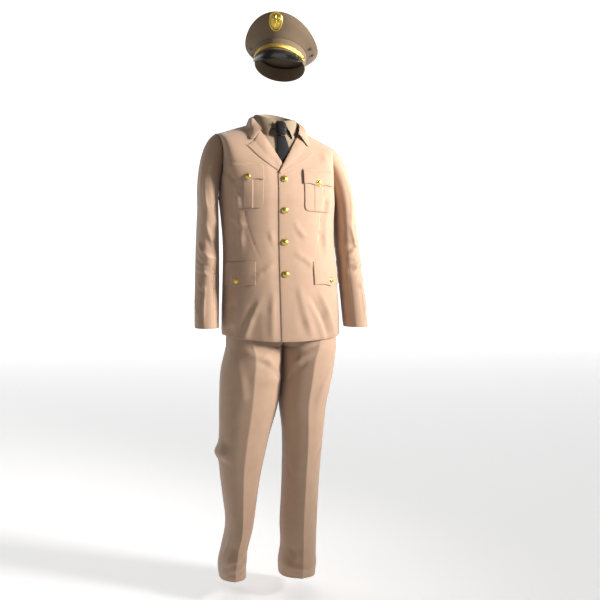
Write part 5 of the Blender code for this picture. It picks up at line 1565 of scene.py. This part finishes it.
# %% Model one button
FRONT_BUTTON_RADIUS = 0.0108
POCKET_BUTTON_RADIUS = 0.0088
CAP_BUTTON_RADIUS = 0.0065
FRONT_BUTTON_HEIGHTS = (1.332, 1.2335, 1.134, 1.0335)
FRONT_BUTTON_STANDS = (0.0003, 0.0006, 0.0009, 0.0006)
Press = namedtuple("Press", "lift scale")
BUTTON_PRESSES = (
    Press(0.14, 1.06), Press(0.05, 0.985), Press(0.0, 0.93), Press(-0.02, 0.98), Press(0.07, 0.97),
    Press(0.11, 0.90), Press(0.09, 0.80), Press(0.07, 0.66), Press(0.04, 0.40), Press(0.01, 0.05),
)


def deselect_all():
    """Operators act on what is selected, so nothing may be left from before."""
    for item in bpy.context.scene.objects:
        item.select_set(False)
    bpy.context.view_layer.objects.active = None


def model_button(name):
    """A button of radius 1 at the origin, its back on z = 0."""
    deselect_all()
    bpy.ops.mesh.primitive_circle_add(vertices=48, radius=0.93, fill_type="NGON")
    button = bpy.context.object
    button.name = name
    bpy.ops.object.mode_set(mode="EDIT")
    bpy.ops.mesh.select_all(action="SELECT")
    for press in BUTTON_PRESSES:
        bpy.ops.mesh.extrude_region_move(TRANSFORM_OT_translate={"value": (0, 0, press.lift)})
        bpy.ops.transform.resize(value=(press.scale, press.scale, 1))
    bpy.ops.mesh.select_all(action="SELECT")
    bpy.ops.mesh.normals_make_consistent(inside=False)
    bpy.ops.object.mode_set(mode="OBJECT")
    return button


pattern_button = model_button("pattern_button")
print("button pattern:", len(pattern_button.data.polygons), "faces, height",
      round(pattern_button.dimensions.z, 3), "of its radius")

# %% Place the buttons
def at_one(surface, a, b, side=1):
    """A surface's point and outward normal at one place."""
    one_a, one_b = np.array([[a]], float), np.array([[b]], float)
    return Vector(surface(one_a, one_b)[0, 0]), Vector(normals_of(surface, one_a, one_b)[0, 0]) * side


def set_button(node, radius, point, normal, stand=0.0006):
    """A copy of the pattern with its own mesh, scaled, turned and moved in the mesh itself."""
    mesh = pattern_button.data.copy()
    mesh.name = f"gilt_{node}"
    turn = normal.to_track_quat("Z", "Y").to_matrix().to_4x4()
    for vertex in mesh.vertices:
        vertex.co = turn @ (vertex.co * radius) + point + normal * stand
    mesh.materials.append(GILT)
    mesh.shade_smooth()
    button = bpy.data.objects.new(f"gilt_{node}", mesh)
    bpy.context.scene.collection.objects.link(button)
    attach(button, "root")
    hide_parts(node)


def front_place(a, b):
    return posed(on_front(a, b, 0.0, 1))


for count, (height, stand) in enumerate(zip(FRONT_BUTTON_HEIGHTS, FRONT_BUTTON_STANDS), start=1):
    point, normal = at_one(front_place, 0.0, height)
    set_button(f"front_button_{count}", FRONT_BUTTON_RADIUS, point, normal, stand)
for side, word in SIDES:
    places = (
        ("chest", chest_flap(side), CHEST_BUTTON_Z, CHEST_FLAP_Z),
        ("hip", hip_flap(side), HIP_BUTTON_Z, HIP_FLAP_Z),
    )
    for kind, flap, height, span in places:
        low = span[0] - FLAP_POINT
        point, normal = at_one(flap, 0.5, (height - low) / (span[1] - low), side)
        set_button(f"{kind}_button_{word}", POCKET_BUTTON_RADIUS, point, normal)
print("coat buttons set")

# %% [markdown]
# ## Cap
#
# The cap's crown rises at the front over a stiffener and spreads to a flat top with a piped edge. Below
# it runs the band, the peak slopes from the band's front, and a gilt strap lies over their join. The cap
# is modelled upright and then tipped back, turned and rolled.

# %% Charts of the cap
CAP_AT = Vector((0.0025, -0.020, 1.7062))
CAP_TURN = Euler((math.radians(-17), math.radians(2.5), math.radians(-19)), "XYZ")
BAND_HALF_WIDTH = 0.0820
BAND_HALF_DEPTH = 0.1000
BAND_HEIGHT = 0.045
CapRow = namedtuple("CapRow", "half_width front back z_front z_side z_back")
CROWN = (
    CapRow(0.0835, 0.1015, 0.1010, 0.0456, 0.0456, 0.0456),
    CapRow(0.0927, 0.1142, 0.1089, 0.0613, 0.0495, 0.0493),
    CapRow(0.1072, 0.1325, 0.1190, 0.0861, 0.0557, 0.0549),
    CapRow(0.1163, 0.1422, 0.1240, 0.1058, 0.0618, 0.0598),
    CapRow(0.1173, 0.1416, 0.1251, 0.1127, 0.0651, 0.0625),
    CapRow(0.1109, 0.1326, 0.1185, 0.1152, 0.0662, 0.0643),
    CapRow(0.0841, 0.1000, 0.0899, 0.1118, 0.0674, 0.0670),
    CapRow(0.0445, 0.0526, 0.0480, 0.1007, 0.0681, 0.0722),
    CapRow(0.0119, 0.0137, 0.0123, 0.0900, 0.0683, 0.0775),
)

def cap_place(x, y, z):
    """Points of the cap, from its own upright place to how it is worn."""
    points = stack(x, y, z)
    turn = np.array(CAP_TURN.to_matrix())
    centre = np.array(CAP_AT) - np.array([0, 0, HELD_HEIGHT])
    return points @ turn.T + centre


def crown(a, b):
    """The crown's outer face: a round it from the front, b counts the table's rows."""
    def at(name):
        return counted(CROWN, name, b)

    c = np.cos(a)
    far = np.where(c > 0, at("z_front"), at("z_back"))
    z = lerp(at("z_side"), far, np.abs(c) ** 1.6)
    return cap_place(at("half_width") * np.sin(a), -np.where(c > 0, at("front"), at("back")) * c, z)


def band_oval(a, out):
    return (BAND_HALF_WIDTH + out) * np.sin(a), -(BAND_HALF_DEPTH + out) * np.cos(a)


def band(a, b):
    x, y = band_oval(a, 0.0012 * b)
    return cap_place(x, y, BAND_HEIGHT * b + 0 * a)
CAP_CLOTH = 0.002
print("crown chart:", len(CROWN), "rows")

# %% Sew the crown and band
CREST_ROW = 4.0


def worn_crown(a, b):
    """The crown with its piped edge, the seams of its four quarters and a soft unevenness."""
    points = crown(a, b)
    normal = normals_of(crown, a, np.clip(b, 0.002, 7.998))
    piping = 0.0016 * np.exp(-(((b - CREST_ROW) / 0.10) ** 2))
    groove = -0.0006 * np.exp(-(((np.abs(b - CREST_ROW) - 0.24) / 0.07) ** 2))
    quarter = np.abs(np.angle(np.exp(1j * (2 * a - math.pi)))) / 2
    below = smooth((CREST_ROW - b) / 0.3)
    seam = -0.0008 * np.exp(-((quarter * 0.11 / 0.0012) ** 2)) * below
    soft = rippled(a * 0.11, b * 0.02, 9.0, 0.0004) * smooth(b) * smooth(8 - b)
    sag = 0.0012 * np.sin(3 * a + 1.0) * smooth((b - 4.6) / 1.5) * smooth((8 - b) / 2)
    return points + normal * (piping + groove + seam + soft + sag)[..., None]


CROWN_TURNS = np.linspace(0, ROUND, 181)[:-1]
TOP_ROWS = (np.linspace(3.5, 4.5, 31)[1:], np.linspace(4.5, 8, 30)[1:])
CROWN_ROWS = np.concatenate([spread(0, 3.5, 44, 0.004), *TOP_ROWS])
piece = sew_wall("sewn_cap_crown", worn_crown, CROWN_TURNS, CROWN_ROWS, CAP_CLOTH, CAP_KHAKI,
                 ["cap_crown"], closed=True, crown=True)
declare(piece)
piece = sew_wall("sewn_cap_band", band, CROWN_TURNS, spread(0, 1, 16, 0.03), CAP_CLOTH, CAP_KHAKI,
                 ["cap_band"], closed=True)
declare(piece)

# %% [markdown]
# The peak is patent leather, moulded in one curve, with a raised rim along its free edge and a pressed
# line inside the rim.

# %% Peak
PEAK_HALF_ANGLE = math.radians(66)
PEAK_LENGTH = 0.050
PEAK_SLOPE = math.radians(56)
PEAK_THICK = 0.002

def peak(a, b):
    """The peak: a from side to side, b from its free edge at 0 to the band at 1."""
    turn = a * PEAK_HALF_ANGLE
    x, y = band_oval(turn, 0.0028)
    reach = (1 - b) * (0.004 + (PEAK_LENGTH - 0.004) * np.clip(np.cos(a * math.pi / 2), 0, 1) ** 0.6)
    size = np.hypot(x, y)
    slope = PEAK_SLOPE + 0.20 * (1 - b)
    out = reach * np.cos(slope)
    return cap_place(x * (1 + out / size), y * (1 + out / size), 0.004 - reach * np.sin(slope))


def bound_peak(a, b):
    """The peak with a raised rim along its free edge and a pressed line inside the rim."""
    points = peak(a, b)
    normal = normals_of(peak, np.clip(a, -0.998, 0.998), np.clip(b, 0.002, 0.998))
    rim = 0.0011 * np.exp(-((b / 0.045) ** 2)) - 0.0004 * np.exp(-(((b - 0.11) / 0.03) ** 2))
    return points + normal * rim[..., None]


def shaped_skin(name, surface, a, b, thick, material, nodes, closed=False):
    """A stiff thin piece that isn't cloth: the same wall, with no cut to declare."""
    piece = sew_wall(name, surface, a, b, thick, material, nodes, closed=closed, crown=closed,
                     roll=False)
    print(name, len(piece.data.polygons), "faces")
    return piece


shaped_skin("moulded_peak", bound_peak, spread(-1, 1, 110, 0.004), spread(0, 1, 44, 0.01), PEAK_THICK, PATENT,
            ["cap_peak"])

# %% [markdown]
# The strap is a flat gilt braid: slanting strands between two raised edges.

# %% Strap
STRAP_HALF_ANGLE = math.radians(70)
STRAP_WIDTH = 0.0125
STRAP_THICK = 0.0022
STRAP_FRONT_Z = 0.0185
STRAP_END_Z = 0.0115

def strap(a, b):
    x, y = band_oval(a * STRAP_HALF_ANGLE, 0.0012 + STRAP_THICK)
    middle = lerp(STRAP_FRONT_Z, STRAP_END_Z, np.abs(a) ** 1.6)
    return cap_place(x, y, middle + (b - 0.5) * STRAP_WIDTH)
STRAP_PITCH = 0.0040


def braided_strap(a, b):
    """The strap's face with slanting strands on it."""
    points = strap(a, b)
    normal = normals_of(strap, np.clip(a, -0.998, 0.998), np.clip(b, 0.01, 0.99))
    length = a * STRAP_HALF_ANGLE * 0.092
    lean = np.abs(b - 0.5) * STRAP_WIDTH
    strands = 0.00035 * np.cos(ROUND * (length + lean) / STRAP_PITCH) * smooth((0.5 - np.abs(b - 0.5)) / 0.12)
    edges = 0.0004 * np.exp(-(((np.abs(b - 0.5) - 0.43) / 0.05) ** 2))
    return points + normal * (strands + edges)[..., None]


shaped_skin("braided_strap", braided_strap, spread(-1, 1, 420), spread(0, 1, 19), STRAP_THICK, GILT_CORD,
            ["cap_strap"])

# %% [markdown]
# The badge is an oval plate with a beaded rim and a plain design: a rayed star over a small disc, with a
# ring round them. It follows the front of the crown.

# %% Badge
BADGE_HALF_WIDTH = 0.025
BADGE_HALF_HEIGHT = 0.031
BADGE_ROW = 2.0
BADGE_CLOTH_GAP = 0.0005
BADGE_THICK = 0.0022
BADGE_RIM = 0.0018
BADGE_DOME = 0.0022
ROW_ABOVE = 0.0220
ROW_BELOW = 0.0308
CROWN_RADIUS = 0.125

def badge(turn, radius):
    """The oval badge's face on the raised front: a raised rim, and a low dome inside it."""
    right, up = BADGE_HALF_WIDTH * radius * np.sin(turn), BADGE_HALF_HEIGHT * radius * np.cos(turn)
    row = BADGE_ROW + np.where(up > 0, up / ROW_ABOVE, up / ROW_BELOW)
    angle = right / CROWN_RADIUS
    rim = BADGE_RIM * np.exp(-(((radius - 0.88) / 0.07) ** 2))
    dome = BADGE_DOME * np.clip(1 - (radius / 0.7) ** 2, 0, 1)
    lift = (BADGE_CLOTH_GAP + BADGE_THICK + rim + dome)[..., None]
    return crown(angle, row) + normals_of(crown, angle, row) * lift
BEADS = 40
RAYS = 12


def pressed_badge(turn, radius):
    """The badge's face: beads on the rim, a ring, and a star with long and short rays."""
    points = badge(turn, radius)
    normal = normals_of(badge, -turn, np.clip(radius, 0.16, 0.99), 1)
    outward = normals_of(crown, np.zeros((1, 1)), np.full((1, 1), BADGE_ROW))[0, 0]
    normal = np.where((normal @ outward)[..., None] < 0, -normal, normal)
    beads = 0.0007 * np.exp(-(((radius - 0.93) / 0.035) ** 2)) * (0.5 + 0.5 * np.cos(BEADS * turn))
    ring = 0.0008 * np.exp(-(((radius - 0.66) / 0.03) ** 2))
    long_ray = np.clip(np.cos(RAYS / 2 * turn), 0, 1) ** 3
    short_ray = 0.6 * np.clip(-np.cos(RAYS / 2 * turn), 0, 1) ** 3
    rays = 0.0013 * (long_ray + short_ray) * smooth((0.60 - radius) / 0.10) * smooth((radius - 0.16) / 0.06)
    disc = 0.0010 * smooth((0.20 - radius) / 0.05)
    return points + normal * (beads + ring + rays + disc)[..., None]


BADGE_TURNS = -np.linspace(0, ROUND, 241)[:-1]
shaped_skin("pressed_badge", pressed_badge, BADGE_TURNS, np.linspace(1, 0.02, 60), BADGE_THICK, GILT,
            ["cap_badge"], closed=True)

# %% Side buttons and eyelets of the cap
for side, word in SIDES:
    point, normal = at_one(band, side * 1.33, 0.25)
    set_button(f"cap_button_{word}", CAP_BUTTON_RADIUS, point, normal)
EYELETS = ((1.40, 1.5), (1.72, 1.6), (-1.40, 1.5), (-1.72, 1.6))
VENT_STAND = 0.0013
for count, (angle, row) in enumerate(EYELETS, start=1):
    point, normal = at_one(worn_crown, angle, row)
    deselect_all()
    bpy.ops.mesh.primitive_torus_add(major_radius=0.0034, minor_radius=0.0009, major_segments=40,
                                     minor_segments=14, location=point + normal * VENT_STAND,
                                     rotation=normal.to_track_quat("Z", "Y").to_euler())
    eyelet = bpy.context.object
    eyelet.name = f"rolled_vent_{count}"
    bpy.ops.object.transform_apply(location=True, rotation=True, scale=True)
    eyelet.data.materials.append(PATENT)
    eyelet.data.shade_smooth()
    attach(eyelet, "root")
    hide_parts(f"cap_vent_{count}")
bpy.data.objects.remove(pattern_button, do_unlink=True)
print("cap trimmed")

# %% [markdown]
# ## Floor, light and camera
#
# A pale floor and a lit white backdrop, a soft key light from the viewer's right that models the folds, a
# weak fill from the left and a light from above. The camera stands nine degrees to the viewer's left of
# the uniform's own front, level, a little above its middle.

# %% Floor and lights
FLOOR_Z = -HELD_HEIGHT
deselect_all()
WHITE = (1.0, 1.0, 1.0, 1)
UPRIGHT = (math.radians(90), 0, 0)


def paper_sheet(name, paper, size, location, rotation, **values):
    """A large plane of paper that belongs to the picture and not to the uniform."""
    bpy.ops.mesh.primitive_plane_add(size=size, location=location, rotation=rotation)
    plane = bpy.context.object
    plane.name = name
    material, _, _, shader = new_material(paper)
    set_inputs(shader, Emission_Color=WHITE, **values)
    plane.data.materials.append(material)
    return plane


floor = paper_sheet("pale_floor", "pale_paper", 24, (0, 6, FLOOR_Z), (0, 0, 0),
                    Base_Color=(0.92, 0.92, 0.92, 1), Emission_Strength=0.42, Roughness=0.9)
backdrop = paper_sheet("white_backdrop", "lit_paper", 30, (0, 9, 0), UPRIGHT, Emission_Strength=0.9)

world = bpy.data.worlds.new("studio")
bpy.context.scene.world = world
world.use_nodes = True
set_inputs(world.node_tree.nodes["Background"], Color=WHITE, Strength=0.09)

Lamp = namedtuple("Lamp", "name place aim size watts spread colour")
LAMPS = (
    Lamp("key", (3.0, -1.75, 0.75), (0.06, 0, -0.08), 0.9, 24, 44, (1.0, 0.97, 0.94)),
    Lamp("fill", (-3.0, -1.2, 0.3), (0, 0, -0.4), 2.2, 7, 180, (1.0, 0.96, 0.90)),
    Lamp("top", (0.4, -0.6, 3.0), (0, 0, -0.4), 2.0, 10, 180, (1.0, 0.99, 0.97)),
)
for lamp in LAMPS:
    data = bpy.data.lights.new(lamp.name, "AREA")
    data.size, data.energy, data.color = lamp.size, lamp.watts, lamp.colour
    data.spread = math.radians(lamp.spread)
    light = bpy.data.objects.new(lamp.name, data)
    light.location = lamp.place
    light.rotation_euler = (Vector(lamp.aim) - Vector(lamp.place)).to_track_quat("-Z", "Y").to_euler()
    bpy.context.scene.collection.objects.link(light)
bpy.context.scene.view_settings.view_transform = "Standard"
print("lamps:", [lamp.name for lamp in LAMPS])

# %% Camera
VIEW_TURN = math.radians(9)
VIEW_DISTANCE = 2.9
VIEW_LEVEL = 1.05
VIEW_HEIGHT = VIEW_LEVEL - HELD_HEIGHT
METRES_PER_PIXEL = 0.00327
FRAME_PIXELS = 600
FRAME_WIDTH = METRES_PER_PIXEL * FRAME_PIXELS
PIXELS_ASIDE = 22
PIXELS_ABOVE_GROUND = 290
SENSOR_WIDTH = 36
camera_data = bpy.data.cameras.new("photo_view")
camera_data.sensor_width = SENSOR_WIDTH
camera_data.lens = SENSOR_WIDTH * VIEW_DISTANCE / FRAME_WIDTH
camera_data.shift_x = PIXELS_ASIDE / FRAME_PIXELS
camera_data.shift_y = (PIXELS_ABOVE_GROUND * METRES_PER_PIXEL - VIEW_LEVEL) / FRAME_WIDTH
camera = bpy.data.objects.new("photo_view", camera_data)
camera.location = (-VIEW_DISTANCE * math.sin(VIEW_TURN), -VIEW_DISTANCE * math.cos(VIEW_TURN), VIEW_HEIGHT)
camera.rotation_euler = (math.radians(90), 0, -VIEW_TURN)
bpy.context.scene.collection.objects.link(camera)
bpy.context.scene.camera = camera
print("camera at", [round(v, 3) for v in camera.location], "lens", round(camera_data.lens, 1))
